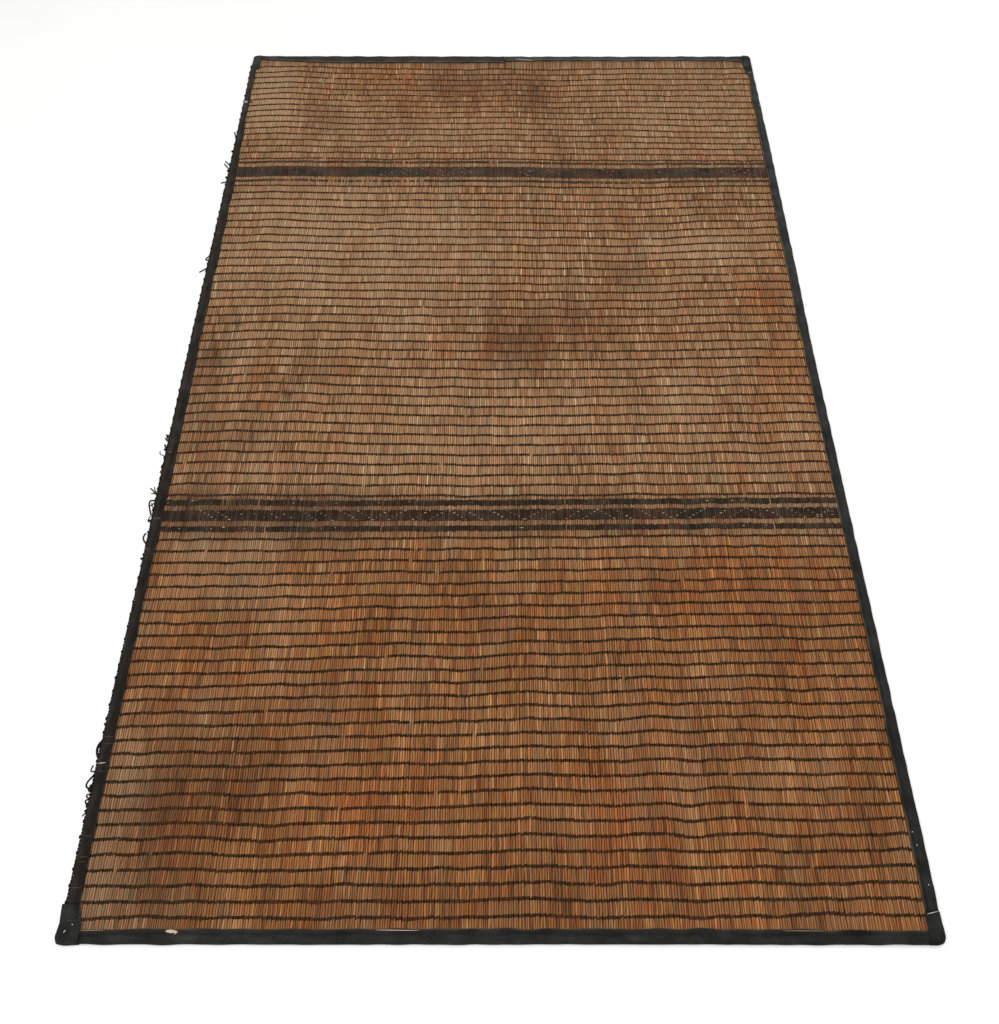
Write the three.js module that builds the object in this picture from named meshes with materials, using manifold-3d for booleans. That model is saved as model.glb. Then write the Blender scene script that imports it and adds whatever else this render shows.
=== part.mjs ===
// A flat reed mat: stalks bound by rows of twined leather thong, two bands woven in leather,
// a folded cloth tape round all four edges and the remains of a leather fringe on the left.
//
// Millimetres. X runs across the stalks, +Y along them away from the near edge, +Z up.
// The mat lies on Z = 0, and the origin is under the middle of everything built here.

import * as THREE from 'three';
import { mergeVertices } from 'three/addons/utils/BufferGeometryUtils.js';
import Module from 'manifold-3d';

// The whole mat, over its tapes
const MAT_WIDTH = 1100;
const MAT_LENGTH = 1950;
const GAP = 0.3; // clearance between neighbouring pieces
const WELD_DISTANCE = 0.001; // points closer than this are one point

// Cloth tape, folded round the edge of the sheet
const TAPE_THICK = 1;
const TAPE_STEP = 95; // length of one straight stretch of tape

// Reed sheet and the thongs twined round it
const REED_THICK = 3;
const REED_INSET = 8; // from the mat's outer line to the sheet's edge inside the fold
const SHEET_COLUMNS = 12; // stretches across the width, short enough to follow the rows' sway
const THONG_RISE = 0.9;
const THONG_WIDE = 6.4;

// Leather-woven bands, standing a little higher along their middle
const BAND_THICK = 0.8;
const BAND_ROUND = 0.3;

// Heights, built up from the floor
const REED_BASE = TAPE_THICK + GAP;
const REED_TOP = REED_BASE + REED_THICK;
const BAND_BASE = REED_TOP + GAP;
const POCKET_TOP = BAND_BASE + BAND_THICK + GAP;
const TAPE_TOP = POCKET_TOP + TAPE_THICK;
const CORNER_TOP = TAPE_TOP + 0.4; // the corner pieces are a doubled tape

// Fringe remains
const SELVEDGE_HIGH = 3.8;
const SELVEDGE_WIDE = 1.6;
const SELVEDGE_FAR = 920;
const SELVEDGE_NEAR = -924;
const SELVEDGE_GAP = 0.5; // to the tape's fold, whose unevenness the selvedge follows
const KNOT_REACH = 1.8; // how far a thong's knotted end stands out of the selvedge
const KNOT_STEP = 10.8; // from a knot to the dip after it, half the distance of two thong rows
const INNER_EVERY = 8; // the straight inner side has a point only at every eighth of those
const STRAND_WIDE = 1.7;

// Thong rows: evenly spaced between the first and the last row of each block
const THONG_BLOCKS = [
  { first: 929, last: 604, rows: 17 },
  { first: 517, last: -264, rows: 37 },
  { first: -348, last: -939, rows: 29 },
];

const BANDS = [
  { name: 'upper_band_far_stripe', middle: 593.5, wide: 9 },
  { name: 'upper_band', middle: 562, wide: 34 },
  { name: 'upper_band_near_stripe', middle: 533.5, wide: 9 },
  { name: 'lower_band_far_stripe', middle: -279, wide: 8 },
  { name: 'lower_band', middle: -304.5, wide: 23 },
  { name: 'lower_band_near_stripe', middle: -329, wide: 10 },
];

// Hand-made rows aren't straight. Each entry is a soft pull towards the near edge, or away
// from it where it is negative, round a middle at x, y that fades over wide and long.
const SWAYS = [
  { x: -475, y: 75, wide: 115, long: 185, pull: 9 },
  { x: -455, y: 855, wide: 90, long: 700, pull: -10 },
  { x: -430, y: 0, wide: 150, long: 260, pull: -10 },
  { x: -85, y: 840, wide: 105, long: 195, pull: 7.5 },
  { x: 120, y: 850, wide: 75, long: 210, pull: 7 },
  { x: -35, y: 715, wide: 190, long: 185, pull: -7 },
  { x: 475, y: 695, wide: 155, long: 115, pull: 11 },
  { x: 275, y: 355, wide: 225, long: 330, pull: 7 },
  { x: 430, y: 330, wide: 145, long: 375, pull: -7 },
  { x: 0, y: -75, wide: 165, long: 190, pull: 5 },
  { x: -575, y: -560, wide: 400, long: 300, pull: 11 },
  { x: 455, y: -560, wide: 385, long: 250, pull: -8 },
];

// Each tape runs from one place along its edge to another. Its stations give how far its fold
// lies in from the mat's outer line, and how far in from that line it covers.
const TAPES = [
  {
    name: 'tape_left',
    side: 'left',
    from: -925,
    to: 921.7,
    stations: [
      { along: -925, inset: 3, cover: 19.5 },
      { along: -715, inset: 3, cover: 19 },
      { along: -415, inset: 4, cover: 18.5 },
      { along: -175, inset: 3, cover: 20.5 },
      { along: 125, inset: 3, cover: 19 },
      { along: 365, inset: 3.5, cover: 20 },
      { along: 545, inset: 4, cover: 20.5 },
      { along: 665, inset: 4.5, cover: 16.5 },
      { along: 785, inset: 4, cover: 15 },
      { along: 922, inset: 4, cover: 14.5 },
    ],
  },
  {
    name: 'tape_right',
    side: 'right',
    from: -934,
    to: 902.7,
    stations: [
      { along: -934, inset: 0.5, cover: 19 },
      { along: -835, inset: 0, cover: 18 },
      { along: -525, inset: 1.5, cover: 18 },
      { along: -235, inset: 2.5, cover: 20 },
      { along: 65, inset: 3.5, cover: 20.5 },
      { along: 300, inset: 1, cover: 18.5 },
      { along: 665, inset: 0, cover: 17 },
      { along: 845, inset: 0, cover: 16.5 },
      { along: 903, inset: 0.5, cover: 12 },
    ],
  },
  {
    name: 'tape_far_left',
    side: 'far',
    from: -528.7,
    to: 8,
    stations: [
      { along: -529, inset: 0.5, cover: 14 },
      { along: -450, inset: 2, cover: 22 },
      { along: -350, inset: 2, cover: 28 },
      { along: 8, inset: 3, cover: 27 },
    ],
  },
  {
    name: 'tape_far_right',
    side: 'far',
    from: 8.3,
    to: 532.7,
    stations: [
      { along: 8, inset: 3.5, cover: 20 },
      { along: 130, inset: 4, cover: 17.5 },
      { along: 330, inset: 4, cover: 18 },
      { along: 533, inset: 3, cover: 21 },
    ],
  },
  {
    name: 'tape_near',
    side: 'near',
    from: -521.7,
    to: 529.7,
    stations: [
      { along: -522, inset: 0.5, cover: 20.5 },
      { along: -200, inset: 0.5, cover: 21.5 },
      { along: 100, inset: 1, cover: 20.5 },
      { along: 530, inset: 0.5, cover: 20.5 },
    ],
  },
];

// Corner pieces, as their outline on the floor. The pocket is the hollow of the fold: it takes
// the sheet's corner, and is open towards the sheet and the tapes.
const CORNERS = [
  {
    name: 'corner_far_left',
    outline: [[-529, 922], [-546.5, 922], [-546.5, 967], [-544.5, 972.5], [-539, 975], [-529, 975]],
    pocket: [[-520, 915], [-545, 915], [-545, 966.8], [-543.5, 971], [-538.8, 973.5], [-520, 973.5]],
  },
  {
    name: 'corner_far_right',
    outline: [[533, 903], [549.5, 903], [549.5, 966], [547, 972.5], [541, 974.5], [533, 975]],
    pocket: [[525, 895], [548, 895], [548, 965.6], [545.8, 971.2], [540.8, 972.9], [525, 973.4]],
  },
  {
    name: 'corner_near_right',
    outline: [[530, -934.3], [550, -934.3], [550.5, -966], [548, -972.5], [541, -975], [530, -975]],
    pocket: [[522, -925], [548.6, -925], [549, -965.8], [547, -971.4], [540.8, -973.5], [522, -973.5]],
  },
  {
    name: 'corner_near_left',
    outline: [
      [-529, -925.3], [-552, -925.3], [-553, -950], [-556, -962], [-556, -970],
      [-551, -975], [-522, -975], [-522, -953], [-529, -953],
    ],
    pocket: [
      [-515, -915], [-550.6, -915], [-551.5, -950], [-554.4, -962], [-554.4, -969.4],
      [-550.4, -973.5], [-515, -973.5],
    ],
  },
];

// Torn thong ends along the left edge, from the far end to the near one. Each leaves the
// selvedge at its root and lies on the floor along its route; a loop comes back to the selvedge.
const STRANDS = [
  { root: 673, route: [[-549, 684], [-554, 699]] },
  { root: 584, route: [[-551, 592], [-559, 600]] },
  { root: 572, route: [[-553, 582], [-560, 592]] },
  { root: 533, route: [[-552, 534], [-558, 529]] },
  { root: 298, route: [[-555, 299], [-554, 304], [-550, 309]] },
  { root: 277, route: [[-553, 272], [-561, 265]] },
  { root: -141, route: [[-554, -143], [-553, -152]], back: -158 },
  { root: -184, route: [[-554, -182], [-557, -177]] },
  { root: -262, route: [[-551, -259], [-558, -256]] },
  { root: -280, route: [[-555, -281], [-552, -294]], back: -305 },
  { root: -361, route: [[-553, -350], [-553, -341]] },
  { root: -698, route: [[-552, -706], [-551, -714]], back: -724 },
  { root: -741, route: [[-552, -742], [-555, -739], [-552, -733]] },
  { root: -746, route: [[-551, -750], [-556, -760], [-554, -766]], back: -765 },
  { root: -782, route: [[-549.5, -776], [-553, -778]] },
];

// Larger knots on the selvedge
const KNOTS = [
  { x: -549.5, y: 632, radius: 2.2 },
  { x: -549.5, y: 568, radius: 2.2 },
  { x: -550, y: 547, radius: 2.2 },
  { x: -548.5, y: 496, radius: 2 },
  { x: -550, y: -168, radius: 2.2 },
  { x: -550, y: -205, radius: 1.9 },
  { x: -550, y: -316, radius: 1.9 },
  { x: -549.5, y: -671, radius: 1.9 },
  { x: -550, y: -795, radius: 2 },
];

const FINISHES = {
  reed: { colour: 0xa47a50, roughness: 0.75 },
  leather: { colour: 0x37302a, roughness: 0.7 },
  cloth: { colour: 0x2f332f, roughness: 0.85 },
};

const wasm = await Module();
wasm.setup();

// How far a row is pulled towards the near edge at a place on the mat
function pullAt(x, y) {
  let pull = 0;
  for (const sway of SWAYS) {
    const across = (x - sway.x) / sway.wide;
    const along = (y - sway.y) / sway.long;
    pull += sway.pull * Math.exp(-across * across - along * along);
  }
  return pull;
}

// The tape's inset and cover at a place along it, straight between its stations
function tapeAt(stations, along) {
  let before = stations[0];
  for (const after of stations) {
    if (after.along >= along) {
      const span = after.along - before.along;
      const share = span > 0 ? (along - before.along) / span : 0;
      return {
        inset: THREE.MathUtils.lerp(before.inset, after.inset, share),
        cover: THREE.MathUtils.lerp(before.cover, after.cover, share),
      };
    }
    before = after;
  }
  return before;
}

// A geometry with its shared points merged
function welded(geometry) {
  const bare = geometry.clone();
  bare.deleteAttribute('normal');
  bare.deleteAttribute('uv');
  return mergeVertices(bare, WELD_DISTANCE);
}

function signedVolume(geometry) {
  const index = geometry.index;
  const points = [new THREE.Vector3(), new THREE.Vector3(), new THREE.Vector3()];
  let volume = 0;
  for (let face = 0; face < index.count; face += 3) {
    points.forEach((point, corner) => {
      point.fromBufferAttribute(geometry.attributes.position, index.getX(face + corner));
    });
    volume += points[0].dot(points[1].clone().cross(points[2])) / 6;
  }
  return volume;
}

// A closed body with its faces pointing out, also where its points were mirrored into place
function outward(geometry) {
  const body = welded(geometry);
  if (signedVolume(body) < 0) {
    const index = body.index;
    for (let face = 0; face < index.count; face += 3) {
      const second = index.getX(face + 1);
      index.setX(face + 1, index.getX(face + 2));
      index.setX(face + 2, second);
    }
  }
  body.computeVertexNormals();
  return body;
}

function toManifold(geometry) {
  const body = outward(geometry);
  return new wasm.Manifold(new wasm.Mesh({
    numProp: 3,
    vertProperties: new Float32Array(body.attributes.position.array),
    triVerts: new Uint32Array(body.index.array),
  }));
}

function fromManifold(manifold) {
  const mesh = manifold.getMesh();
  const geometry = new THREE.BufferGeometry();
  geometry.setAttribute('position', new THREE.BufferAttribute(mesh.vertProperties, 3));
  geometry.setIndex(new THREE.BufferAttribute(mesh.triVerts, 1));
  return geometry;
}

// Moves every point of a geometry: move gets the point and changes it
function shaped(geometry, move) {
  const place = geometry.attributes.position;
  const point = new THREE.Vector3();
  for (let index = 0; index < place.count; index += 1) {
    point.fromBufferAttribute(place, index);
    move(point);
    place.setXYZ(index, point.x, point.y, point.z);
  }
  return geometry;
}

function outlineShape(points) {
  return new THREE.Shape(points.map(([x, y]) => new THREE.Vector2(x, y)));
}

function piece(name, geometry, { colour, roughness }) {
  const material = new THREE.MeshStandardMaterial({ color: colour, roughness, metalness: 0 });
  const mesh = new THREE.Mesh(outward(geometry), material);
  mesh.name = name;
  return mesh;
}

// The lines across the sheet from the near edge to the far one: the two edges, and for each
// thong row its near foot, its crest and its far foot
function sheetLines() {
  const half = MAT_LENGTH / 2 - REED_INSET;
  const rows = THONG_BLOCKS.flatMap(({ first, last, rows: count }) => (
    Array.from({ length: count }, (_, row) => first + ((last - first) * row) / (count - 1))
  ));
  const lines = rows.reverse().flatMap((row) => [
    { row, offset: -THONG_WIDE / 2, rise: 0 },
    { row, offset: 0, rise: THONG_RISE },
    { row, offset: THONG_WIDE / 2, rise: 0 },
  ]);
  return [{ edge: -half }, ...lines, { edge: half }];
}

// The reed sheet: a slab with a flat underside and a low ridge on top for every thong row.
// Its underside is one strip for each pair of lines, so only the top has all the columns.
function reedSheet() {
  const half = MAT_WIDTH / 2 - REED_INSET;
  const lines = sheetLines();
  const places = [];
  const faces = [];
  const lineY = (line, x) => ('edge' in line ? line.edge : line.row + line.offset - pullAt(x, line.row));
  for (const line of lines) {
    for (let column = 0; column <= SHEET_COLUMNS; column += 1) {
      const x = -half + (2 * half * column) / SHEET_COLUMNS;
      places.push(x, lineY(line, x), REED_TOP + (line.rise ?? 0));
    }
    for (const x of [-half, half]) {
      places.push(x, lineY(line, x), REED_BASE);
    }
  }
  const stride = SHEET_COLUMNS + 3;
  const top = (line, column) => line * stride + column;
  const under = (line, side) => line * stride + SHEET_COLUMNS + 1 + side;
  const quad = (a, b, c, d) => faces.push(a, b, c, a, c, d);
  for (let line = 0; line < lines.length - 1; line += 1) {
    const next = line + 1;
    for (let column = 0; column < SHEET_COLUMNS; column += 1) {
      quad(top(line, column), top(line, column + 1), top(next, column + 1), top(next, column));
    }
    quad(under(line, 0), under(next, 0), under(next, 1), under(line, 1));
    quad(top(line, 0), top(next, 0), under(next, 0), under(line, 0));
    quad(top(line, SHEET_COLUMNS), under(line, 1), under(next, 1), top(next, SHEET_COLUMNS));
  }
  // The two end walls are fans from the underside's left corner
  const last = lines.length - 1;
  for (let column = 0; column < SHEET_COLUMNS; column += 1) {
    faces.push(under(0, 0), top(0, column + 1), top(0, column));
    faces.push(under(last, 0), top(last, column), top(last, column + 1));
  }
  faces.push(under(0, 0), under(0, 1), top(0, SHEET_COLUMNS));
  faces.push(under(last, 0), top(last, SHEET_COLUMNS), under(last, 1));
  const geometry = new THREE.BufferGeometry();
  geometry.setAttribute('position', new THREE.Float32BufferAttribute(places, 3));
  geometry.setIndex(faces);
  return geometry;
}

// A band swings with the rows beside it and is highest along its middle line
function band({ middle, wide }) {
  const across = MAT_WIDTH - 2 * REED_INSET;
  const geometry = new THREE.BoxGeometry(across, wide, BAND_THICK, SHEET_COLUMNS, 2, 1);
  return shaped(geometry, (point) => {
    const onMiddle = Math.abs(point.y) < WELD_DISTANCE;
    const height = onMiddle ? BAND_THICK : BAND_THICK - BAND_ROUND;
    point.z = BAND_BASE + (point.z > 0 ? height : 0);
    point.y += middle - pullAt(point.x, middle);
  });
}

// The section of a folded tape: across from its fold, up from the floor. Points at the lips
// have no place across, because they lie wherever the tape's cover ends.
const FOLD_SECTION = [
  { across: null, up: 0 },
  { across: 1.6, up: 0 },
  { across: 0, up: 1.9 },
  { across: 0, up: TAPE_TOP - 1.9 },
  { across: 1.6, up: TAPE_TOP },
  { across: null, up: TAPE_TOP },
  { across: null, up: POCKET_TOP },
  { across: 2.2, up: POCKET_TOP },
  { across: 1.2, up: POCKET_TOP - 1.2 },
  { across: 1.2, up: TAPE_THICK + 1.2 },
  { across: 2.2, up: TAPE_THICK },
  { across: null, up: TAPE_THICK },
];

// Where a point across and along an edge lies on the mat
const EDGE_PLACES = {
  left: (across, along) => [across - MAT_WIDTH / 2, along],
  right: (across, along) => [MAT_WIDTH / 2 - across, along],
  far: (across, along) => [along, MAT_LENGTH / 2 - across],
  near: (across, along) => [along, across - MAT_LENGTH / 2],
};

function tape({ side, from, to, stations }) {
  const lip = 10; // past every other point of the section, so the lips can be told by it
  const section = FOLD_SECTION.map(({ across, up }) => [across ?? lip, up]);
  const run = to - from;
  const geometry = new THREE.ExtrudeGeometry(outlineShape(section), {
    depth: run,
    steps: Math.round(run / TAPE_STEP),
    bevelEnabled: false,
  });
  return shaped(geometry, (point) => {
    const along = from + point.z;
    const { inset, cover } = tapeAt(stations, along);
    const across = point.x < lip ? inset + point.x : cover;
    const up = point.y;
    const [x, y] = EDGE_PLACES[side](across, along);
    point.set(x, y, up);
  });
}

function corner({ outline, pocket }) {
  const block = new THREE.ExtrudeGeometry(outlineShape(outline), {
    depth: CORNER_TOP,
    bevelEnabled: false,
  });
  const hollow = new THREE.ExtrudeGeometry(outlineShape(pocket), {
    depth: POCKET_TOP - TAPE_THICK,
    bevelEnabled: false,
  });
  hollow.translate(0, 0, TAPE_THICK);
  return fromManifold(toManifold(block).subtract(toManifold(hollow)));
}

// The selvedge's inner edge, which follows the left tape's fold
function selvedgeX(y) {
  const [{ stations }] = TAPES;
  return tapeAt(stations, y).inset - MAT_WIDTH / 2 - SELVEDGE_GAP;
}

// The selvedge, with a knot at the end of every thong row
function selvedge() {
  const stretches = Math.round((SELVEDGE_FAR - SELVEDGE_NEAR) / KNOT_STEP);
  const inner = [];
  const outer = [];
  for (let index = 0; index <= stretches; index += 1) {
    const y = THREE.MathUtils.lerp(SELVEDGE_FAR, SELVEDGE_NEAR, index / stretches);
    const reach = index % 2 === 1 ? KNOT_REACH : 0;
    outer.push([selvedgeX(y) - SELVEDGE_WIDE - reach, y]);
    if (index % INNER_EVERY === 0 || index === stretches) {
      inner.unshift([selvedgeX(y), y]);
    }
  }
  return new THREE.ExtrudeGeometry(outlineShape([...outer, ...inner]), {
    depth: SELVEDGE_HIGH,
    bevelEnabled: false,
  });
}

// A four-sided strand lying on the floor, with its root inside the selvedge
function strand({ root, route, back }) {
  const half = STRAND_WIDE / 2;
  const rooted = (y) => [selvedgeX(y) - SELVEDGE_WIDE / 2, y];
  const places = [rooted(root), ...route];
  if (back !== undefined) {
    places.push(rooted(back));
  }
  return new THREE.ExtrudeGeometry(
    outlineShape([[-half, -half], [half, -half], [half, half], [-half, half]]),
    {
      extrudePath: new THREE.CatmullRomCurve3(places.map(([x, y]) => new THREE.Vector3(x, y, half))),
      steps: 2 * (places.length - 1),
      bevelEnabled: false,
    },
  );
}

function fringe() {
  let whole = toManifold(selvedge());
  for (const entry of STRANDS) {
    whole = whole.add(toManifold(strand(entry)));
  }
  for (const { x, y, radius } of KNOTS) {
    const knot = new THREE.IcosahedronGeometry(radius, 0);
    knot.translate(x, y, radius);
    whole = whole.add(toManifold(knot));
  }
  return fromManifold(whole);
}

const mat = new THREE.Group();
mat.add(piece('reed_sheet', reedSheet(), FINISHES.reed));
for (const entry of BANDS) {
  mat.add(piece(entry.name, band(entry), FINISHES.leather));
}
for (const entry of TAPES) {
  mat.add(piece(entry.name, tape(entry), FINISHES.cloth));
}
for (const entry of CORNERS) {
  mat.add(piece(entry.name, corner(entry), FINISHES.cloth));
}
mat.add(piece('left_fringe', fringe(), FINISHES.leather));

// The fringe sticks out on one side only, so the mat is moved to put the origin in the middle
const box = new THREE.Box3().setFromObject(mat);
mat.position.x = -(box.min.x + box.max.x) / 2;
mat.position.y = -(box.min.y + box.max.y) / 2;

export default mat;
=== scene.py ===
"""A flat reed mat: straw stalks bound by twined leather thongs, two leather-woven bands,
a folded cloth tape round the edge and the remains of a fringe. Laid out as an add-on with a
panel in the sidebar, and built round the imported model's frame."""

import math

import bmesh
import bpy
import numpy as np
from bpy.props import FloatProperty, FloatVectorProperty, IntProperty, PointerProperty
from mathutils import Matrix, Vector


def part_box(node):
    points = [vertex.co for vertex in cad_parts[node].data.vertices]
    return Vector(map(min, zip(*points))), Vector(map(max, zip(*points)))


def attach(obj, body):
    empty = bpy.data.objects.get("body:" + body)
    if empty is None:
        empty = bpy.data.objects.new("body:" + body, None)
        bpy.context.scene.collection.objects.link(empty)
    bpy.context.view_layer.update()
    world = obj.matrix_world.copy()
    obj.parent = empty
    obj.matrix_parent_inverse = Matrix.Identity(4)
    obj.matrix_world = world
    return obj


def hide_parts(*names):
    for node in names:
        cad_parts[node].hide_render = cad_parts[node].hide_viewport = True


bl_info = {
    "name": "Reed and leather mat",
    "version": (1, 0, 0),
    "blender": (4, 5, 0),
    "location": "3D View > Sidebar > Mat",
    "description": "Builds the stalks, thong rows, leather bands, tapes and fringe of a flat reed mat",
    "category": "Add Mesh",
}

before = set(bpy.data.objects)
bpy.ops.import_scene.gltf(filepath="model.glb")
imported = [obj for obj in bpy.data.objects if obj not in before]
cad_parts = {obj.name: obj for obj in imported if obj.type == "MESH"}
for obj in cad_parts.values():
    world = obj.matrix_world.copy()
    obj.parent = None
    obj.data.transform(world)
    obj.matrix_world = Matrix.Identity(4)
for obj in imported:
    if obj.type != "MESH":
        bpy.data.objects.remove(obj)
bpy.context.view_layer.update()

MM = 0.001


def table(columns, *rows):
    """Rows of values under named columns, each row as a dictionary."""
    names = columns.split()
    return tuple(dict(zip(names, row)) for row in rows)


# The mat's own middle: the fringe sticks out on one side, so it isn't the frame's origin
SHEET_LOW, SHEET_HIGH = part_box("reed_sheet")
MIDDLE_X = (SHEET_LOW.x + SHEET_HIGH.x) / 2
HALF_WIDTH = 550 * MM
HALF_LENGTH = 975 * MM
SHEET_HALF_WIDTH = (SHEET_HIGH.x - SHEET_LOW.x) / 2
SHEET_HALF_LENGTH = SHEET_HIGH.y
REED_BASE = SHEET_LOW.z
REED_TOP = REED_BASE + 3 * MM

# Thong rows, evenly spaced between the first and last row of each block, in mm from the middle,
# and how much paler and redder their leather is than the plain thong
THONG_BLOCKS = table(
    "name first last rows tint",
    ("thong_rows_far", 926.5, 602, 17, (1.9, 1.5, 1.3)),
    ("thong_rows_middle", 515, -266, 37, (1.35, 1.2, 1.1)),
    ("thong_rows_near", -350, -941, 29, (1.15, 1.08, 1)),
)

# Leather-woven bands: their middle line and width in mm, how many strips lie side by side, and
# how much darker than the plain leather they are
BANDS = table(
    "name middle wide strips darker",
    ("upper_band_far_stripe", 590.5, 6.5, 2, 0.04),
    ("upper_band", 560, 32.5, 8, 0.04),
    ("upper_band_near_stripe", 531.5, 6.5, 2, 0.04),
    ("lower_band_far_stripe", -280.5, 11.3, 2, 0.44),
    ("lower_band", -305.5, 21.5, 5, 0.42),
    ("lower_band_near_stripe", -331.5, 10.5, 2, 0.44),
)

# Hand-made rows sway: each entry is a soft pull towards the near edge, in mm. The fourth to the fifteenth
# entry were rounded from a fit to the rows in the photo, the others were placed one by one
SWAYS = table(
    "x y wide long pull",
    (-280, -282, 90, 9, 2),
    (-545, -331, 70, 9, -2),
    (-285, -305, 90, 9, 1),
    (-475, 75, 115, 185, 9),
    (-455, 855, 90, 700, -10),
    (-430, 0, 150, 260, -10),
    (-85, 840, 105, 195, 7.5),
    (120, 850, 75, 210, 7),
    (-35, 715, 190, 185, -7),
    (475, 695, 155, 115, 11),
    (275, 355, 225, 330, 7),
    (430, 330, 145, 375, -7),
    (0, -75, 165, 190, 5),
    (-575, -560, 400, 300, 11),
    (455, -560, 385, 250, -8),
    (45, -780, 50, 190, -4),
    (-45, -560, 60, 90, 2.5),
    (-210, -470, 60, 110, -2),
    (200, -800, 45, 120, -2),
    (500, -180, 50, 110, -3),
    (525, 365, 40, 60, -3.5),
    (-480, 570, 75, 90, 4.5),
    (-300, 590, 60, 40, -3),
    (280, 430, 45, 110, 2),
    (-440, -770, 45, 90, -2),
    (105, -640, 60, 150, 1),
    (165, -740, 30, 120, 1.5),
    (215, -700, 30, 200, -1.2),
    (253, -740, 30, 150, 1),
    (300, -720, 28, 200, -1.8),
    (520, -860, 40, 60, -2),
    (-405, -850, 35, 60, -2.5),
    (-315, -850, 40, 70, 2.5),
    (-415, -942, 55, 22, -2.5),
    (435, -938, 55, 22, -5.5),
)

# Stains and worn places on the reeds, and painted shade in slits where a stalk is missing: middle and reach
# in mm, and how much of each tint
PATCHES = table(
    "x y wide long dark warm pale red",
    (0, -305, 700, 44, 0.52, -0.1, 0, 0),
    (-430, -315, 200, 60, 0.55, -0.3, 0, 0),
    (-150, -305, 250, 50, 0.2, -0.15, 0, 0),
    # painted shade: a dark slit where a stalk is missing
    (355, -650, 2.4, 10, 1.4, 0, 0, 0),
    (-460, 420, 140, 330, 0, 0, 0.22, 0),
    (-465, -150, 70, 70, 0.3, 0, 0, 0),
    (-478, -274, 75, 30, 0.3, 0, 0, 0),
    (30, -290, 110, 30, -0.15, 0, 0, 0),
    (-510, -800, 55, 200, 0, -0.45, 0, 0),
    (-469, 128, 10, 6, 1, 0, 0, 0),
    (-364, -46, 11, 8, 0.9, 0, 0, 0),
    (-374, 17, 8, 24, -0.2, 0, 0.9, 0),
    (-364, 11, 2, 9, 1, 0, 0, 0),
    (-508, 42, 22, 22, 0.4, 0, 0, 0),
    (-396, -71, 13, 12, 0, 0, 0, 0.6),
    (-475, 745, 50, 60, 0, 0, 0.4, 0),
    (-505, -730, 25, 60, 0, 0, 0.5, 0),
    (-515, -880, 20, 80, 0, 0, 0.4, 0),
    (-203.5, -868, 2.2, 32, -0.9, -0.6, 0.8, 0),
    (-212, -855, 7, 5, 1, 0, 0, 0),
    (-198, -882, 6, 5, 1, 0, 0, 0),
    (0, 560, 700, 42, 0.22, 0, 0, 0),
    (-437, 574, 9, 7, 0, 0, 1, 0),
    (-438, -270, 11, 8, 0, 0, 0.9, 0),
    # painted shade: a dark slit where a stalk is missing
    (-366, -322, 2.5, 16, 1, 0, 0, 0),
    (-490, 850, 50, 110, 0, 0, 1, 0),
    (-365, 745, 45, 55, 0.42, 0, 0, 0),
    (-60, 850, 150, 60, 0.35, 0.3, 0, 0),
    (85, 830, 40, 85, 0.4, 0, 0, 0),
    (-185, 775, 45, 35, 0, 0.3, 0, 0.2),
    (-260, 900, 60, 35, 0, 0.5, 0, -0.15),
    (-525, 640, 45, 70, 0, -0.3, 0, -0.3),
    (-470, -925, 85, 45, 0.22, -0.4, 0, 0),
    (370, 790, 190, 160, 0, 0, 0.4, 0),
    (-160, 690, 260, 70, 0, 0, 0.4, 0),
    (-230, 880, 110, 70, 0, 0.2, 0, 0.06),
    (-245, 330, 230, 200, 0, 0, 0.55, 0),
    (380, 330, 110, 45, 0, 0, 0.6, 0),
    (95, 110, 165, 95, 0.35, 0.25, 0, 0),
    (10, 55, 60, 75, 0.35, 0, 0, 0.15),
    (245, 245, 40, 45, 0.35, 0, 0, 0),
    (480, 200, 45, 55, 0.1, 0.3, 0, 0.22),
    (-360, 5, 75, 50, 0.35, 0, 0, 0),
    (-505, -30, 35, 110, 0.45, 0, 0, 0),
    (-60, -125, 250, 100, 0, 0, 0.35, 0),
    (300, -60, 55, 70, 0, 0, 0.3, 0),
    (480, 60, 70, 200, 0, 0.35, 0, 0),
    (-430, -410, 95, 70, 0, 0, 0.45, 0),
    (-330, -490, 60, 80, 0, 0, 0.3, 0),
    (340, -425, 115, 80, 0, 0.35, 0, 0.18),
    (460, -620, 60, 130, 0, 0.2, 0, 0.06),
    (-160, -795, 85, 50, 0, 0.9, 0, 0.3),
    (-195, -655, 30, 40, 0, 0.4, 0, 0.3),
    (160, -815, 75, 75, 0, 0.5, 0, 0.35),
    (190, -670, 65, 75, 0, 0, 0.15, 0),
    (-400, -730, 75, 100, 0.5, 0, 0, 0),
    (-490, -830, 55, 90, 0.4, 0, 0, 0),
    (-150, -930, 380, 40, 0.25, 0, 0, 0),
    (-60, -840, 330, 110, 0, 0.4, 0, 0),
)

# Where twists of thong are hidden under their stalks, in mm, and how often
SUNK_TWISTS = table(
    "x y wide long share",
    (-280, 830, 150, 80, 0.035),
    (173, -601, 4, 9, 1.2),
    (-441, 0, 3.5, 9, 1.2),
    (-414, 67, 4.5, 9, 1.2),
    (-375, -46, 4.5, 9, 1.2),
    (-301, -88, 4, 9, 1.2),
    (-321, 88, 3.5, 9, 1.2),
    (-188, 40, 3.5, 9, 1.2),
    (-219, -244, 4, 9, 1.2),
    (-452, -371, 4, 9, 1.2),
    (-129, -371, 3.5, 9, 1.2),
    (-119, -371, 3.5, 9, 1.2),
    (-214, -797, 4.5, 9, 1.2),
    (-87, -775, 3.5, 9, 1.2),
    (-56, -775, 3, 9, 1.2),
    (-176, -858, 3, 9, 1.2),
    (-203.5, -868, 2.2, 26, 1.2),
)

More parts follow.
